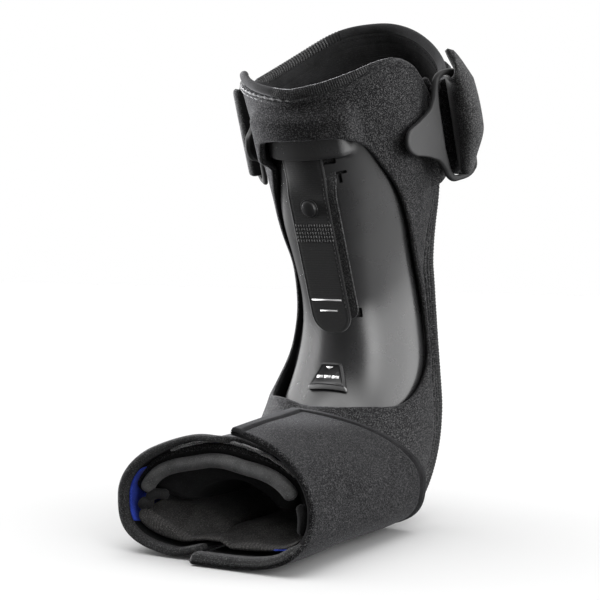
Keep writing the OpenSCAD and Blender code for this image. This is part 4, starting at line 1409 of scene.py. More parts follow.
@dataclass
class CalfCuff:
    """Rear panel of the cuff with its bound edge, and the calf strap with its turns round the bars."""

    cloth: Cloth
    lobe: LobeFrame
    rim: float
    panel_in: float = 5.2
    panel_t: float = 4.0
    panel_th: float = 91.0
    panel_up: float = 46.0
    binding_d: float = 5.0
    strap_w: float = 49.0
    strap_t: float = 2.6
    strap_d: float = 11.5
    leave_th: float = 126.0
    turn_r: float = 4.7
    tail_len: float = 29.0
    turn_len: float = 14.0
    panel_len: float = 190.0
    flush_in: float = 2.6

    def panel_top(self, th: Array) -> Array:
        """Station of the panel's upper edge."""
        rise = 13.0 * ease((90.0 - np.abs(th - 180.0)) / 90.0) + 2.6 * groove(th - 208.0, 20.0)
        return self.rim - 8.0 + rise - 9.2 * ease((184.0 - th) / 60.0)

    def panel_spot(self, u: Array, w: Array, side: Array) -> Array:
        """Places the panel's grid.

        Args:
            u: Share round the calf.
            w: Share up.
            side: 1 outside and -1 inside.

        Returns:
            The points.
        """
        th = mix(self.panel_th, 360.0 - self.panel_th, crowd(u, 0.4))
        low = LIMB.v_shin + self.panel_up
        top = self.panel_top(th)
        v = mix(low, top, crowd(w, 0.5))
        edge = np.minimum(np.minimum(v - low, top - v), np.minimum(u, 1.0 - u) * self.panel_len)
        half = self.panel_t / 2 * rounded(edge, 2.0)
        place = LIMB.point(v, th, 0.0)
        puff = 0.6 * ripple(place, 52.0, 1.3) * ease(edge / 8.0)
        hem = np.where(side > 0, 0.5 * groove(v - low - 7.0, 0.6), -0.6 * groove(top - v - 7.0, 0.6))
        flush = self.flush_in * ease((14.0 - np.minimum(u, 1.0 - u) * self.panel_len) / 14.0)
        half = half * (1.0 - 0.7 * flush / self.flush_in)
        return LIMB.point(v, th, self.panel_in + self.panel_t / 2 + side * half + puff - hem - flush)

    def strap_table(self, cols: int, rows: int) -> tuple[Array, Array]:
        """Middle of the strap round the calf and its outward direction, for each point of a grid.

        Args:
            cols: Faces along the strap, from the left bar to the right one.
            rows: Faces across it.

        Returns:
            Points and directions in a table of cols + 1 by rows + 1.
        """
        leave0 = LIMB.section(self.lobe.v, self.leave_th, self.strap_d)
        run = unit(self.lobe.bar - leave0)
        away = np.array([-run[1], run[0]])
        end = self.lobe.bar - away * self.turn_r - run * 8.0
        middle, out = [], []
        for v in np.linspace(self.lobe.v - self.strap_w / 2, self.lobe.v + self.strap_w / 2, rows + 1):
            th = np.linspace(360.0 - self.leave_th, self.leave_th, 60)
            round_calf = LIMB.section(np.full_like(th, v), th, np.full_like(th, self.strap_d))
            right = mix(round_calf[-1], end, np.linspace(0.1, 1.0, 10)[:, None])
            left = right[::-1] * np.array([-1.0, 1.0])
            line = evenly(np.concatenate([left, round_calf, right]), cols + 1)
            tangent = unit(np.gradient(line, axis=0))
            middle.append(LIMB.shin_point(line[:, 0], line[:, 1], v - LIMB.v_shin))
            tip = line + np.stack([-tangent[:, 1], tangent[:, 0]], axis=1)
            out.append(LIMB.shin_point(tip[:, 0], tip[:, 1], v - LIMB.v_shin) - middle[-1])
        return np.stack(middle, axis=1), np.stack(out, axis=1)

    def turn_piece(self, name: str, back_len: float, side: Side, bow: float, thick: float,
                   slack: float, corners: tuple[float, float], tab: float, wider: float,
                   radius: float) -> bpy.types.Object:
        """Strap end round a bar and back along itself.

        Args:
            name: Name of the piece.
            back_len: Length that comes back outside the strap.
            side: Side of the leg.
            bow: How far its middle bows out.
            thick: Thickness of the end, which is puffy.
            slack: How far the turn reaches past the middle of the bar.
            corners: Radii of the upper and the lower corner of the free end.
            tab: How far a soft tab stands up from its upper edge.
            wider: How far each edge reaches past the strap's width in the loop.
            radius: Radius of its middle round the bar.

        Returns:
            The object.
        """
        leave0 = LIMB.section(self.lobe.v, self.leave_th, self.strap_d)
        run = unit(self.lobe.bar - leave0)
        away = np.array([-run[1], run[0]])
        angle = np.linspace(-0.5 * np.pi, 0.5 * np.pi, 40)
        start = np.stack([np.linspace(-7.6, -0.2, 12), np.full(12, -radius)], axis=1)
        bend = np.stack([slack * np.cos(angle), radius * np.sin(angle)], axis=1)
        back = np.stack([np.linspace(-0.5, -back_len, 40), np.full(40, radius)], axis=1)
        cols, rows = 80, 40
        line = evenly(np.concatenate([start, bend, back]), cols + 1)
        tangent = unit(np.gradient(line, axis=0))
        outward = np.stack([tangent[:, 1], -tangent[:, 0]], axis=1)
        length = path_length(line)

        def spot(u: Array, w: Array, face: Array) -> Array:
            """Places the grid of the strap's end."""
            i = np.rint(u * cols).astype(int)
            along = u * length
            corner = np.where(w > 0.5, corners[0], corners[1])
            left = np.maximum(0.0, corner - (length - along))
            limit = self.strap_w / 2 - corner + np.sqrt(np.maximum(0.0, corner**2 - left**2))
            stand = np.where(w > 0.5, tab * groove(along - 23.5, 4.4), 0.0)
            limit = limit + wider * ease((26.0 - along) / 10.0) + stand
            up = limit * (2.0 * crowd(w, 0.5) - 1.0)
            edge = np.minimum(limit - np.abs(up), np.minimum(along, length - along))
            late = ease((along - 6.0) / 20.0)
            half = mix(self.strap_t, thick, late) / 2 * rounded(edge, 2.2)
            shift = (face * half)[:, None] * outward[i]
            swell = groove(along - 0.62 * length, 0.34 * length)
            crown = np.maximum(0.0, 1.0 - (2.0 * up / self.strap_w) ** 2)
            puff = swell * bow * crown + late * (thick - self.strap_t) / 2
            puff = puff - 0.45 * np.maximum(0.0, up - self.strap_w / 2)
            puff = puff - np.sign(tab) * 6.0 * late * ease((-up - 3.0) / 22.0)
            local = line[i] + shift + np.stack([np.zeros_like(u), puff], axis=1)
            flat = self.lobe.bar + local[:, :1] * run + local[:, 1:] * away
            return LIMB.shin_point(side.value * flat[:, 0], flat[:, 1], self.lobe.loop_up + up)

        def paint(u: Array, w: Array, face: Array) -> Array:
            """Finish of its faces: 1 at the start, 2 on the light patches and 0 elsewhere."""
            along, up = u * length, self.strap_w * (w - 0.5)
            light = (w > 0.74 + 0.012 * np.abs(along - 24.0)) & (along > 18.0) & (along < 28.5)
            light = light | ((up < -20.0) & (along > 26.0) & (along < 34.0))
            return np.where(along < 12.0, 1, np.where(light, 2, 0))

        return sheet_piece(name, cols, rows, spot, (length, self.strap_w), paint)

    def build(self) -> None:
        """Builds the panel, its binding, the strap and both turns."""
        panel = sheet_piece("calf_cuff_panel", 140, 70, self.panel_spot, (190.0, 75.0),
                            lambda u, w, side: np.where(side < 0, 1, 0))
        self.cloth.dress(panel, "velour+cuff_lining", Body.SPLINT, "velour", "calf_panel")
        th = np.linspace(self.panel_th + 1.0, 359.0 - self.panel_th, 90)
        v = self.panel_top(th) + self.binding_d / 2 - 0.8
        path = LIMB.point(v, th, self.panel_in + self.panel_t / 2)
        edge = roll_piece("calf_cuff_overlock", path, LIMB.normal(v, th), self.binding_d, 6.0, 18, pitch=0.4,
                          swell=lambda along, angle: 0.07 * np.sin(np.pi * along) * (along > 128.0),
                          paint=lambda u, w, side: np.where(w > 0.7, 1, 0))
        self.cloth.dress(edge, "smooth_roll+overlock", Body.SPLINT, "binding", "calf_panel_binding")
        seam = LIMB.point(self.panel_top(th[4:60]) - 2.6, th[4:60], self.panel_in - 0.1)
        row = stitch_row("calf_cuff_stitching", seam, -LIMB.normal(v[4:60], th[4:60]), 1.6, 1.2, 0.7, 0.1)
        self.cloth.dress(row, "band_knit", Body.SPLINT, "binding")
        cols, rows = 160, 30
        middle, out = self.strap_table(cols, rows)

        def strap_spot(u: Array, w: Array, face: Array) -> Array:
            """Places the strap's grid."""
            i, j = np.rint(u * cols).astype(int), np.rint(w * rows).astype(int)
            edge = np.minimum(w, 1.0 - w) * self.strap_w
            half = self.strap_t / 2 * rounded(np.minimum(edge, np.minimum(u, 1.0 - u) * 300.0), 1.3)
            ply = 6.0 * ease((u - 0.92) / 0.05) * rounded(np.minimum(edge, (1.0 - u) * 300.0), 3.0)
            flare = -8.0 * ease((u - 0.92) / 0.05) * ease((0.3 - w) / 0.3)
            place = middle[i, j] + out[i, j] * (face * half - np.where(face < 0, ply, 0.0))[:, None]
            return place + flare[:, None] * LIMB.shin_up

        strap = sheet_piece("calf_strap_band", cols, rows, strap_spot, (290.0, self.strap_w))
        self.cloth.dress(strap, "velour", Body.SPLINT, "webbing", "calf_strap")
        turn = self.turn_piece("left_strap_turn_band", self.turn_len, Side.LEFT, bow=0.3, thick=2.6,
                               slack=5.4, corners=(4.0, 4.0), tab=0.0, wider=3.0, radius=4.4)
        self.cloth.dress(turn, "strap_velour+webbing+strap_velour", Body.LEFT_LOOP, "webbing",
                         "left_strap_turn")
        tail = self.turn_piece("strap_tail_band", self.tail_len, Side.RIGHT, bow=2.4, thick=5.2, slack=8.6,
                               corners=(12.0, 12.0), tab=19.0, wider=3.6, radius=self.turn_r)
        self.cloth.dress(tail, "strap_velour+webbing+hem_knit", Body.TAIL, "webbing", "strap_tail")
        self.cloth.paint_node("tail_hook", "hook_tape")


@dataclass
class TensionStrap:
    """Strap in the window with its backing, snap, stitched box and printed lines, and the plate below it."""

    cloth: Cloth
    shell: Shell
    strap_w: float = 25.0
    strap_t: float = 1.8
    strap_len: float = 94.0
    hidden: float = 15.0
    tip_r: float = 11.0
    sway: float = 0.06
    sway_from: float = 44.0
    snap_drop: float = 20.6
    snap_d: float = 11.0
    plate_w: float = 25.0
    plate_h: float = 17.0
    plate_t: float = 2.4

    def on_band(self, x: Array, y: Array, z: Array) -> Array:
        """Point on the strap, which hangs with a slight sway, from the arguments of on_strap."""
        bent = 0.0128 * np.square(x) * ease((np.asarray(y, float) + 16.0) / 14.0)
        return self.shell.on_strap(x - self.sway * (y + self.sway_from), y, z - bent)

    def band(self, name: str, left: float, right: float, low: float, top: float, under: float, over: float,
             tip: float) -> bpy.types.Object:
        """Flat band in the frame of the strap, with a round lower end.

        Args:
            name: Name of the piece.
            left: Left edge.
            right: Right edge.
            low: Lower end, up from the slot.
            top: Upper end.
            under: Offset of its back.
            over: Offset of its face.
            tip: Radius of its lower corners.

        Returns:
            The object.
        """

        def spot(u: Array, w: Array, face: Array) -> Array:
            """Places the band's grid."""
            y = mix(low, top, crowd(w, 0.6))
            cut = tip - np.sqrt(np.maximum(0.0, tip**2 - np.maximum(0.0, tip - (y - low)) ** 2))
            half = (right - left) / 2 - cut
            x = (left + right) / 2 + half * (2.0 * crowd(u, 0.6) - 1.0)
            edge = np.minimum(half - np.abs(x - (left + right) / 2), np.minimum(y - low, top - y))
            z = (under + over) / 2 + face * (over - under) / 2 * rounded(edge, 0.7)
            selvedge = np.where(face > 0, 0.12 * groove(edge - 1.6, 0.5), 0.0)
            return self.on_band(x, y, z - selvedge)

        return sheet_piece(name, 60, 160, spot, (right - left, top - low))

    def snap(self) -> bpy.types.Object:
        """Domed snap cap on its rim, spun round its middle.

        Returns:
            The object.
        """
        r = self.snap_d / 2
        angle = np.linspace(0.0, 0.5 * np.pi, 12)
        dome = [(0.82 * r * math.sin(a), 0.7 + 1.9 * math.cos(a)) for a in angle]
        rim = [(0.84 * r, 0.45), (0.9 * r, 0.55), (0.97 * r, 0.5), (r, 0.25), (r, 0.05), (0.0, 0.05)]
        profile = [*dome, *rim]
        bm = bmesh.new()
        verts = [bm.verts.new((x, 0.0, z)) for x, z in profile]
        edges = [bm.edges.new(pair) for pair in zip(verts, verts[1:])]
        bmesh.ops.spin(bm, geom=verts + edges, cent=(0, 0, 0), axis=(0, 0, 1), angle=2.0 * math.pi, steps=48,
                       use_merge=True)
        bmesh.ops.remove_doubles(bm, verts=bm.verts, dist=0.001)
        for vert in bm.verts:
            x, y, z = vert.co
            vert.co = self.on_band(x, y - self.snap_drop, z + self.strap_t / 2) * MM
        bmesh.ops.recalc_face_normals(bm, faces=bm.faces)
        return link(bm, "snap_dome")

    def on_plate(self, x: Array, up: Array, d: Array) -> Array:
        """Point over the shell at the limit plate."""
        v = LIMB.v_shin - 55.0 + up
        return LIMB.point(v, np.degrees(np.arcsin(x / LIMB.half_width(v))), d)

    def plate_half(self, up: Array) -> Array:
        """Half width of the plate at a height."""
        return self.plate_w / 2 * mix(1.0, 0.5, up / self.plate_h)

    def plate_spot(self, u: Array, w: Array, face: Array) -> Array:
        """Places the plate, with a broad bevelled lower edge.

        Args:
            u: Share across.
            w: Share up.
            face: 1 outside and -1 inside.

        Returns:
            The points.
        """
        up = self.plate_h * crowd(w, 0.7)
        half = self.plate_half(up) - 1.6 * (1.0 - rounded(np.minimum(up, self.plate_h - up), 1.8))
        x = half * (2.0 * crowd(u, 0.7) - 1.0)
        edge = np.minimum(half - np.abs(x), np.minimum(0.6 * up, self.plate_h - up))
        rise = mix(self.plate_t + 0.6, self.plate_t - 0.4, up / self.plate_h)
        frame_lip = 0.35 * groove(edge - 1.5, 0.5)
        rise = rise * rounded(edge, 2.2) + frame_lip * (edge > 0.4)
        return self.on_plate(x, up, self.shell.layer_gap + np.where(face > 0, rise, 0.0))

    def mark(self, name: str, outline: Sequence[tuple[float, float]], on: Callable[[float, float], Array],
             out: Array) -> bpy.types.Object:
        """Thin printed mark.

        Args:
            name: Name of the piece.
            outline: Its corners.
            on: Gives the place in space of a corner.
            out: Direction that the print stands out in.

        Returns:
            The object.
        """
        bm = bmesh.new()
        face = bm.faces.new([bm.verts.new(on(x, y) * MM) for x, y in outline])
        grown = bmesh.ops.extrude_face_region(bm, geom=[face])["geom"]
        moved = [item for item in grown if isinstance(item, bmesh.types.BMVert)]
        bmesh.ops.translate(bm, verts=moved, vec=Vector(out) * (0.12 * MM))
        bmesh.ops.recalc_face_normals(bm, faces=bm.faces)
        return link(bm, name)

    def build(self) -> None:
        """Builds the strap, what is on it and the plate."""
        half = self.strap_w / 2
        strap = self.band("tension_strap_webbing", -half, half, -self.strap_len, self.hidden,
                          -self.strap_t / 2, self.strap_t / 2, self.tip_r)
        self.cloth.dress(strap, "webbing", Body.STRAP, "webbing", "tension_strap")
        backing = self.band("strap_backing", -half + 3.0, half + 5.0, -self.strap_len + 8.0, 2.0, -2.1,
                            -0.95, 7.0)
        self.cloth.dress(backing, "strap_velour", Body.STRAP, "webbing")
        self.cloth.dress(self.snap(), "snap", Body.STRAP, "snap", "strap_snap")
        out = self.on_band(0.0, 0.0, 1.0) - self.on_band(0.0, 0.0, 0.0)
        face = self.strap_t / 2 - 0.02
        seam_y = np.linspace(-4.0, 14.0 - self.strap_len, 40)
        seams = (("backing_stitching", half + 3.4, -0.95), ("strap_edge_stitching", half - 1.6, 0.78))
        for name, across, level in seams:
            seam = self.on_band(np.full_like(seam_y, across), seam_y, level)
            row = stitch_row(name, seam, np.broadcast_to(out, seam.shape), 1.5, 1.1, 0.5, 0.1)
            self.cloth.dress(row, "thread_dark", Body.STRAP, "webbing")

        def on(x: float, y: float) -> Array:
            """Place of a printed corner on the strap."""
            return self.on_band(x, y, face)

        middle, tall = -0.6, 0.45
        for name, y, width in (("travel_line_long", -74.2, 19.0), ("travel_line_short", -80.6, 11.2)):
            left, right = middle - width / 2, middle + width / 2
            corners = [(left, y - tall), (right, y - tall), (right, y + tall), (left, y + tall)]
            self.cloth.dress(self.mark(name, corners, on, out), "print_white", Body.STRAP, "webbing")
        bm = bmesh.new()
        lean = Matrix.Rotation(math.radians(90.0 + self.shell.strap_lean), 4, "X")
        size = Matrix.Diagonal((0.42, 0.85, 0.36, 1.0))
        for i in range(5):
            for j in range(14):
                x = -half + 1.8 + j * (self.strap_w - 3.0) / 13.0
                y = -30.4 - i * 2.2
                place = Matrix.Translation(Vector(self.on_band(x, y, self.strap_t / 2 + 0.1)))
                turn = Matrix.Rotation(math.radians(-18.0 if (i + j) % 2 else 14.0), 4, "Z")
                bmesh.ops.create_uvsphere(bm, u_segments=6, v_segments=4, radius=1.0,
                                          matrix=Matrix.Scale(MM, 4) @ place @ lean @ turn @ size)
        self.cloth.dress(link(bm, "strap_box_stitching"), "thread", Body.STRAP, "webbing")
        # A band along the plate's lower bevel gets the light grey painted highlight.
        plate = sheet_piece("limit_plate_moulding", 60, 50, self.plate_spot, (1.0, 1.0),
                            lambda u, w, side: np.where((side > 0) & (w > 0.04) & (w < 0.2), 1, 0))
        self.cloth.dress(plate, "plate+plate_edge", Body.SPLINT, "plate", "limit_plate")
        level = self.shell.layer_gap + self.plate_t
        plate_out = LIMB.normal(LIMB.v_shin - 46.0, 0.0)
        tip = [(-2.2, 14.0), (2.2, 14.0), (0.0, 12.4)]
        bars = [[(x - 1.9, 6.6), (x + 1.9, 6.6), (x + 1.9, 8.4), (x - 1.9, 8.4)] for x in (-4.6, 0.0, 4.6)]
        marks = [("limit_triangle", tip), *((f"limit_bar_{k + 1}", bar) for k, bar in enumerate(bars))]

        def over_plate(x: float, up: float) -> Array:
            """Place of a printed corner on the plate."""
            return self.on_plate(np.asarray(x), np.asarray(up), level + 0.72 - up / self.plate_h)

        for name, corners in marks:
            mark = self.mark(name, corners, over_plate, plate_out)
            self.cloth.dress(mark, "print_white", Body.SPLINT, "plate")
        for node in ("strap_hook", "hook_base"):
            self.cloth.paint_node(node, "hook_tape")


@dataclass
class FootWrap:
    """Forefoot wrap: a left half with a knit hem, a right half with the flap, a lining and two sole pads."""

    cloth: Cloth
    wrap_w: float = 58.2
    wrap_mid: float = 29.0
    wrap_t: float = 4.0
    body_top: float = 63.7
    flap_top: float = 69.9
    sole_power: float = 3.2
    wrap_power: float = 2.0
    left_room: float = 1.4
    instep_lap: float = 12.0
    hem_w: float = 6.4
    band_w: float = 6.6
    left_len: float = 230.0
    right_len: float = 190.0
    ground: float = 0.05

    @property
    def front(self) -> float:
        """Place of the front rim."""
        return -LIMB.sole_len / 2

    @property
    def top_rear(self) -> float:
        """Place of the rear edge over the instep."""
        return LIMB.bend_y + self.instep_lap

    def at(self, phi: Array, y: Array, top: float, inset: Array) -> Array:
        """Point of the wrap.

        Args:
            phi: Angle across the foot in degrees, 0 on the right and 90 on top.
            y: Place along the foot.
            top: Height of the outer face over the foot.
            inset: Distance inwards from the outer face.

        Returns:
            The points.
        """
        phi, y, inset = np.broadcast_arrays(*(np.asarray(value, float) for value in (phi, y, inset)))
        c, s = np.cos(np.radians(phi)), np.sin(np.radians(phi))
        power = np.where(s > 0, self.wrap_power, self.sole_power)
        rise = np.where(s > 0, top - inset - self.wrap_mid, self.wrap_mid - inset)
        half = self.wrap_w - inset + np.where(c < 0, self.left_room, 0.0)
        x = half * np.sign(c) * np.abs(c) ** (2.0 / power)
        return np.stack([x, y, self.wrap_mid + rise * np.sign(s) * np.abs(s) ** (2.0 / power)], axis=-1)

    def rear(self, phi: Array) -> Array:
        """Place of the rear edge."""
        cut = LIMB.sole_len / 2 - self.top_rear
        return LIMB.sole_len / 2 - cut * np.maximum(0.0, np.sin(np.radians(phi))) ** 1.7

    def flap_end(self, y: Array) -> Array:
        """Angle where the flap ends on top."""
        return mix(79.0, 92.0, (y - self.front) / (self.top_rear - self.front))

    def round_phi(self, share: Array, start: float, end: float) -> Array:
        """Angles at about equal steps along the oval.

        Args:
            share: Share of the way.
            start: First angle.
            end: Last angle.

        Returns:
            The angles.
        """
        table = np.linspace(start, end, 400)
        line = self.at(table, 0.0, self.body_top, 0.0)
        length = np.concatenate([[0.0], np.cumsum(np.linalg.norm(np.diff(line, axis=0), axis=1))])
        return np.interp(share, length / length[-1], table)

    @staticmethod
    def tuck(phi: Array) -> Array:
        """How far the left half tucks in under the flap."""
        return 2.4 * ease((100.0 - phi) / 30.0)

    def right_front(self, phi: Array) -> Array:
        """Place of the right half's front rim, which lies further forward low down."""
        return self.front - 9.0 * ease((4.0 - phi) / 44.0)

    def left_lift(self, place: Array) -> Array:
        """How far the left half lies over the right half under the foot."""
        return self.wrap_t * ease((place[..., 0] + 26.0) / 20.0) * ease((12.0 - place[..., 2]) / 8.0)

    def left_spot(self, u: Array, w: Array, side: Array) -> Array:
        """Places the left half's grid.

        Args:
            u: Share from under the flap round to the sole.
            w: Share from the hem back.
            side: 1 outside and -1 inside.

        Returns:
            The points.
        """
        phi = self.round_phi(u, 54.0, 268.0)
        start = self.front + self.hem_w + 0.1 + self.recess(phi)
        y = mix(start, self.rear(phi), crowd(w, 0.5))
        tuck = self.tuck(phi)
        ends = np.minimum(u, 1.0 - u) * self.left_len
        edge = np.minimum(ends, np.minimum(self.rear(phi) - y, y - start + 1.2))
        half = self.wrap_t / 2 * rounded(edge, 1.8)
        mid = self.at(phi, y, self.body_top, self.wrap_t / 2 + tuck)
        outer = self.at(phi, y, self.body_top, self.wrap_t / 2 + tuck - 1.0)
        out = unit(outer - mid)
        puff = 0.4 * ripple(mid, 40.0, 4.0)
        place = mid + out * (side * half + np.where(side > 0, np.minimum(puff, 0.3), puff * 0.4))[:, None]
        sink = ease((y - start) / 16.0) * ease((155.0 - phi) / 25.0) * ease((self.rear(phi) - y) / 20.0)
        place[:, 2] += self.left_lift(mid) - 3.5 * sink
        place[:, 2] = np.maximum(place[:, 2], self.ground)
        return place

    @staticmethod
    def recess(phi: Array) -> Array:
        """How far the left half's front draws back under the flap."""
        return 10.0 * ease((92.0 - phi) / 14.0)

    def hem_spot(self, u: Array, w: Array, side: Array) -> Array:
        """Places the knit hem round the left half's front rim, thinner on top.

        Args:
            u: Share from under the flap round to the sole.
            w: Share from the rim back.
            side: 1 outside and -1 inside.

        Returns:
            The points.
        """
        phi = self.round_phi(u, 56.0, 268.0)
        y = mix(self.front, self.front + self.hem_w, crowd(w, 0.8)) + self.recess(phi)
        tuck = self.tuck(phi)
        edge = np.minimum(np.minimum(w, 1.0 - w) * self.hem_w, np.minimum(u, 1.0 - u) * self.left_len)
        half = (self.wrap_t + 1.0 - 1.6 * ease((135.0 - phi) / 25.0)) / 2 * rounded(edge, 2.6)
        mid = self.at(phi, y, self.body_top, self.wrap_t / 2 + 0.2 + tuck)
        out = unit(self.at(phi, y, self.body_top, self.wrap_t / 2 - 0.8 + tuck) - mid)
        seam = np.where(side > 0, 0.6 * groove(w * self.hem_w - self.hem_w + 1.8, 0.5), 0.0)
        place = mid + out * (side * half - seam)[:, None]
        place[:, 2] += self.left_lift(mid) + 1.6 * ease((130.0 - phi) / 30.0)
        place[:, 2] = np.maximum(place[:, 2], self.ground)
        return place

    def right_spot(self, u: Array, w: Array, side: Array) -> Array:
        """Places the right half's grid.

        Args:
            u: Share from the sole's crease up and over to the flap's end.
            w: Share from the rim back.
            side: 1 outside and -1 inside.

        Returns:
            The points.
        """
        phi = self.round_phi(u, -92.5, 92.0)
        front = self.right_front(phi)
        y = mix(front, self.rear(phi), crowd(w, 0.5))
        over = ease((phi - 40.0) / 40.0)
        phi = phi - over * (92.0 - self.flap_end(y)) * np.clip((phi - 40.0) / 52.0, 0.0, 1.0)
        from_end = (1.0 - u) * self.right_len
        from_rear = self.rear(phi) - y
        from_rim = y - front
        edge = np.minimum(np.minimum(u * self.right_len, from_end), np.minimum(from_rear, from_rim))
        half = self.wrap_t / 2 * rounded(edge, 1.9)
        rim_fold = 2.4 * ease((9.0 - from_rim) / 3.0) * ease((-18.0 - phi) / 14.0) * rounded(edge, 3.0)
        from_band = np.minimum(0.62 * from_end, from_rear)
        seam = 0.9 * groove(from_band - self.band_w, 0.7)
        band = 0.5 * ease((self.band_w - from_band) / 1.5)
        mid = self.at(phi, y, self.flap_top, self.wrap_t / 2)
        out = unit(self.at(phi, y, self.flap_top, self.wrap_t / 2 - 1.0) - mid)
        puff = 0.5 * ripple(mid, 44.0, 5.2) * ease(edge / 9.0)
        lift = np.where(side > 0, puff - seam + band, 0.3 * puff - rim_fold)
        place = mid + out * (side * half + lift)[:, None]
        place[:, 2] = np.maximum(place[:, 2], self.ground)
        return place

    def right_paint(self, u: Array, w: Array, side: Array) -> Array:
        """Finish of the right half's faces.

        Args:
            u: Share from the sole's crease up and over to the flap's end.
            w: Share from the rim back.
            side: 1 outside and -1 inside.

        Returns:
            1 on the bound band, 2 inside, 3 on the knit rim inside and 0 elsewhere.
        """
        phi = self.round_phi(u, -92.5, 92.0)
        y = mix(self.right_front(phi), self.rear(phi), crowd(w, 0.5))
        near = np.minimum(0.62 * (1.0 - u) * self.right_len, self.rear(phi) - y) < self.band_w
        # Dark inner faces, painted shade where the blue lining stops short.
        inside = np.where((phi < -18.0) & (y < self.front + 1.0), 3, 2)
        return np.where(side < 0, inside, np.where(near, 1, 0))

    def lining_spot(self, u: Array, w: Array, side: Array) -> Array:
        """Places the blue lining's grid.

        Args:
            u: Share round.
            w: Share back.
            side: 1 outside and -1 inside.

        Returns:
            The points.
        """
        phi = self.round_phi(u, 58.0, 339.5)
        # The blue lining reaches the rim only on the left and low on the right. Elsewhere it starts further
        # back, so the wrap's dark inner faces show there as painted shade.
        shown = ease((phi - 140.0) / 12.0) * ease((215.0 - phi) / 12.0)
        shown = np.maximum(shown, ease((phi - 290.0) / 8.0) * ease((325.0 - phi) / 8.0))
        y = mix(self.front + 45.0 - 41.0 * shown, self.rear(phi) - 4.0, w)
        tuck = self.tuck(phi)
        edge = np.minimum(np.minimum(u, 1.0 - u) * 290.0, np.minimum(w, 1.0 - w) * 110.0)
        mid = self.at(phi, y, self.body_top, 5.2 + tuck)
        out = unit(self.at(phi, y, self.body_top, 4.2 + tuck) - mid)
        place = mid + out * (side * 0.5 * rounded(edge, 0.5))[:, None]
        place[:, 2] += self.left_lift(mid) * 0.8
        return place

    def floor(self, x: Array) -> Array:
        """Height of the inside of the wrap under the foot.

        Args:
            x: Place across.

        Returns:
            The heights.
        """
        inset = self.wrap_t + 1.6
        c = np.minimum(1.0, np.abs(x) / (self.wrap_w - inset))
        arch = (1.0 - c**self.sole_power) ** (1.0 / self.sole_power)
        return self.wrap_mid - (self.wrap_mid - inset) * arch

    def pad_spot(self, front: Sequence[tuple[float, float]], ridge: Sequence[tuple[float, float]]) -> Spot:
        """Gives the shape of one sole pad.

        Args:
            front: Places across with the height of its front edge there.
            ridge: Places across with its height further back.

        Returns:
            The function that places the pad's grid.
        """
        y0, y1 = self.front + 4.6, LIMB.sole_len / 2 - 14.0
        x0, x1 = front[0][0], front[-1][0]

        def spot(u: Array, w: Array, side: Array) -> Array:
            """Place from the share back, the share across and the face."""
            s, r = 2.0 * crowd(w, 0.8) - 1.0, 2.0 * crowd(u, 0.8) - 1.0
            x = (x0 + x1) / 2 + (x1 - x0) / 2 * s * (1.0 - 0.04 * (1.0 - r * r))
            y = (y0 + y1) / 2 + (y1 - y0) / 2 * r * (1.0 - 0.02 * (1.0 - s * s))
            lap = self.left_lift(np.stack([x, y, np.zeros_like(x)], axis=-1))
            bed = self.floor(x) + 0.6 + lap * 0.8 * ease((8.0 - x) / 8.0)
            edge = np.minimum((1.0 - np.abs(s)) * (x1 - x0) / 2, (1.0 - np.abs(r)) * (y1 - y0) / 2)
            front_top, ridge_top = curve_through(front, x)[..., 0], curve_through(ridge, x)[..., 0]
            top = mix(front_top, ridge_top, ease((y - y0 - 3.0) / 20.0))
            top = np.maximum(top + 0.5 * ripple(np.stack([x, y, bed], axis=-1), 28.0, x1), bed + 2.4)
            share = rounded(edge, 3.4)
            mid = mix((bed + top) / 2, bed + 1.5, 0.35)
            z = np.where(side > 0, mid + (top - mid) * share, mid - (mid - bed) * share)
            return np.stack([x, y, z], axis=-1)

        return spot

    def folds(self) -> None:
        """Builds the soft folds where the tongue's edge meets the pads."""
        y = self.front + 7.5
        rows = {
            "left_fold_upper": [(-45.0, y, 27.5), (-40.0, y - 0.5, 30.6), (-33.5, y + 3.0, 30.0)],
            "left_fold_lower": [(-49.5, y, 22.5), (-46.0, y - 1.0, 26.0), (-42.5, y + 2.0, 24.5)],
            "right_fold": [(46.5, y, 33.0), (48.5, y - 0.5, 26.0), (47.0, y + 1.0, 17.5)],
        }
        for name, row in rows.items():
            stations = [(float(k), *point) for k, point in enumerate(row)]
            path = curve_through(stations, np.linspace(0.0, 2.0, 30))
            forward = np.broadcast_to([0.0, -1.0, 0.0], path.shape)
            fold = roll_piece(name, path, forward, 5.0, 5.6, 16, pitch=0.6)
            self.cloth.dress(fold, "smooth_roll", Body.SPLINT, "lining")

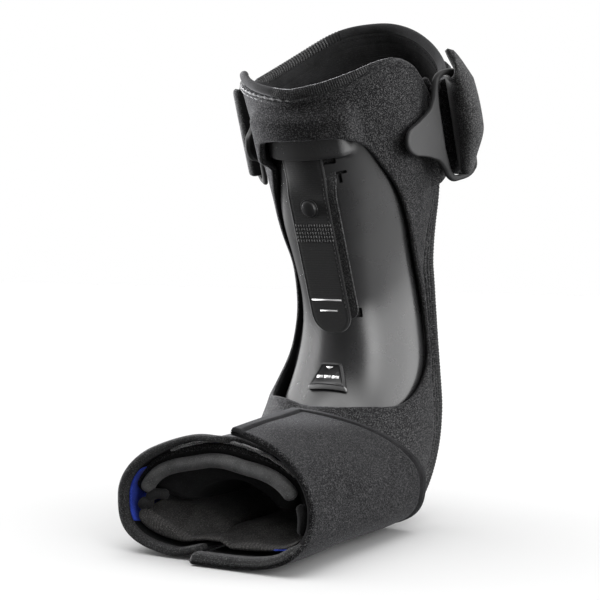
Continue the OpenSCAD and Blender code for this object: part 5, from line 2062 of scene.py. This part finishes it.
    def build(self) -> None:
        """Builds the wrap, its lining and its pads."""
        # Inner faces are dark lining knit, which stands as painted shade where the blue lining stops short.
        left = sheet_piece("wrap_left_half", 200, 70, self.left_spot, (self.left_len, 120.0),
                           lambda u, w, side: np.where(side < 0, 1, 0))
        self.cloth.dress(left, "wrap_velour+lining_knit", Body.SPLINT, "velour", "wrap_body")
        hem = sheet_piece("wrap_knit_hem", 230, 24, self.hem_spot, (self.hem_w, self.left_len))
        self.cloth.dress(hem, "hem_knit", Body.SPLINT, "binding", "wrap_hem")
        lining = sheet_piece("wrap_blue_lining", 160, 60, self.lining_spot, (290.0, 110.0))
        self.cloth.dress(lining, "blue_lining", Body.SPLINT, "blue_lining", "wrap_lining")
        right = sheet_piece("wrap_right_half", 210, 90, self.right_spot, (self.right_len, 120.0),
                            self.right_paint)
        finish = "wrap_velour+band_knit+lining_knit+hem_knit"
        self.cloth.wear(right, finish, "velour", "wrap_flap", "flap_hem")
        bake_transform(right)
        LOG.info("%s: %d faces from splint to flap", right.name, len(right.data.polygons))
        pads = {
            "sole_pad_left": ([(-49.0, 24.0), (-27.5, 13.0), (-12.0, 8.0), (-3.0, 7.0)],
                              [(-49.0, 26.5), (-24.0, 23.0), (-3.0, 17.0)]),
            "sole_pad_right": ([(-6.0, 7.5), (14.0, 10.0), (30.0, 10.5), (47.0, 13.0)],
                               [(-6.0, 14.0), (17.0, 19.5), (47.0, 20.0)]),
        }
        for node, rows in pads.items():
            pad = sheet_piece(f"{node}_cushion", 90, 70, self.pad_spot(*rows), (110.0, 50.0),
                              lambda u, w, side: np.where(u < 0.1, 1, 0))
            self.cloth.dress(pad, "pad_knit+pad_rib", Body.SPLINT, "pad_knit", node)
        self.folds()
        self.cloth.paint_node("flap_hook", "hook_tape")


@dataclass(frozen=True)
class Card:
    """White card in the studio, in degrees round from the front to the right and above the horizon."""

    left: float
    right: float
    low: float
    high: float
    soft: float
    power: float


CARDS = (
    Card(46.0, 68.0, -20.0, 42.0, 9.0, 3.2),
    Card(68.0, 112.0, -16.0, 40.0, 9.0, 1.75),
    Card(112.0, 136.0, -12.0, 34.0, 8.0, 2.1),
    Card(70.0, 140.0, -48.0, -20.0, 8.0, 0.36),
    Card(-130.0, -70.0, -5.0, 45.0, 8.0, 1.0),
)


class Studio:
    """Floor, light and camera of the picture."""

    @staticmethod
    def camera() -> None:
        """Camera at the photograph's viewing angle for a square frame of 600 pixels."""
        eye, aim = Vector((410.0, -686.14, 167.0)) * MM, Vector((0.0, 24.0, 129.0)) * MM
        data = bpy.data.cameras.new("camera")
        data.sensor_width = 36.0
        data.lens = 89.55
        data.clip_start = 0.01
        camera = bpy.data.objects.new("camera", data)
        camera.location = eye
        camera.rotation_euler = (aim - eye).to_track_quat("-Z", "Y").to_euler()
        bpy.context.scene.collection.objects.link(camera)
        bpy.context.scene.camera = camera

    @staticmethod
    def surroundings() -> None:
        """White behind the object, and for its light a dim room with soft white cards and a lit ceiling."""
        world = bpy.data.worlds.new("studio_light")
        world.use_nodes = True
        sheet = NodeSheet(world.node_tree)
        back = world.node_tree.nodes["Background"]
        ray = sheet.add("ShaderNodeTexCoord").outputs["Generated"]
        x, y, z = sheet.add("ShaderNodeSeparateXYZ", {0: ray}).outputs
        forward = sheet.math("MULTIPLY", y, -1.0)
        turn = sheet.math("MULTIPLY", sheet.math("ARCTAN2", x, forward), 180.0 / math.pi)
        rise = sheet.math("MULTIPLY", sheet.math("ARCSINE", z), 180.0 / math.pi)

        def window(value: bpy.types.NodeSocket, low: float, high: float,
                   soft: float) -> bpy.types.NodeSocket:
            """1 between two angles, with soft ends."""
            enter = sheet.ramp(value, low - soft, low + soft)
            return sheet.math("MULTIPLY", enter, sheet.ramp(value, high - soft, high + soft, 1.0, 0.0))

        light = sheet.ramp(rise, 35.0, 70.0, 0.1, 2.5)
        for card in CARDS:
            shape = sheet.math("MULTIPLY", window(turn, card.left, card.right, card.soft),
                               window(rise, card.low, card.high, card.soft))
            light = sheet.math("MULTIPLY_ADD", shape, card.power, light)
        seen = sheet.add("ShaderNodeLightPath").outputs["Is Camera Ray"]
        strength = sheet.add("ShaderNodeMix", {0: seen, 2: light, 3: 1.0}).outputs[0]
        sheet.feed(back, {0: (1.0, 1.0, 1.0, 1.0), 1: strength})
        bpy.context.scene.world = world

    @staticmethod
    def lamp(name: str, place: tuple[float, float, float], energy: float, floor: bpy.types.Object) -> None:
        """Large soft lamp that brightens the cloth from one side, unseen in gloss and not on the floor.

        Args:
            name: Name of the lamp.
            place: Its place in metres.
            energy: Its power in watts.
            floor: The floor, which it leaves out.
        """
        data = bpy.data.lights.new(name, "AREA")
        data.energy = energy
        data.size = 0.6
        lamp = bpy.data.objects.new(name, data)
        lamp.location = place
        lamp.rotation_euler = (Vector((0.0, 0.02, 0.16)) - lamp.location).to_track_quat("-Z", "Y").to_euler()
        lamp.visible_glossy = False
        lit = bpy.data.collections.new(f"{name}_receivers")
        lit.objects.link(floor)
        lit.collection_objects[0].light_linking.link_state = "EXCLUDE"
        lamp.light_linking.receiver_collection = lit
        bpy.context.scene.collection.objects.link(lamp)

    def build(self) -> None:
        """Sets the floor, the lights and the camera."""
        bm = bmesh.new()
        bmesh.ops.create_grid(bm, x_segments=1, y_segments=1, size=3.0)
        floor = link(bm, "studio_floor")
        paper = bpy.data.materials.new("studio_paper")
        paper.use_nodes = True
        shader = paper.node_tree.nodes["Principled BSDF"]
        shader.inputs["Base Color"].default_value = (0.84, 0.84, 0.84, 1.0)
        shader.inputs["Roughness"].default_value = 0.9
        floor.data.materials.append(paper)
        floor.location.z = -0.0006
        floor.visible_glossy = False
        floor.visible_diffuse = False
        self.surroundings()
        self.lamp("left_lamp", (-0.85, 0.1, 0.26), 78.0, floor)
        self.lamp("right_lamp", (0.85, 0.2, 0.3), 13.0, floor)
        bpy.context.scene.view_settings.view_transform = "Standard"
        self.camera()


def main() -> None:
    """Builds the splint's sub-assemblies in order."""
    logging.basicConfig(level=logging.INFO, format="%(name)s: %(message)s")
    cloth = Cloth()
    shell = Shell(cloth)
    shell.build()
    cover = Cover(cloth, shell)
    cover.build()
    lobe = LobeFrame()
    Loops(cloth, lobe).build()
    CalfCuff(cloth, lobe, cover.rim).build()
    TensionStrap(cloth, shell).build()
    FootWrap(cloth).build()
    Studio().build()


if __name__ == "__main__":
    main()
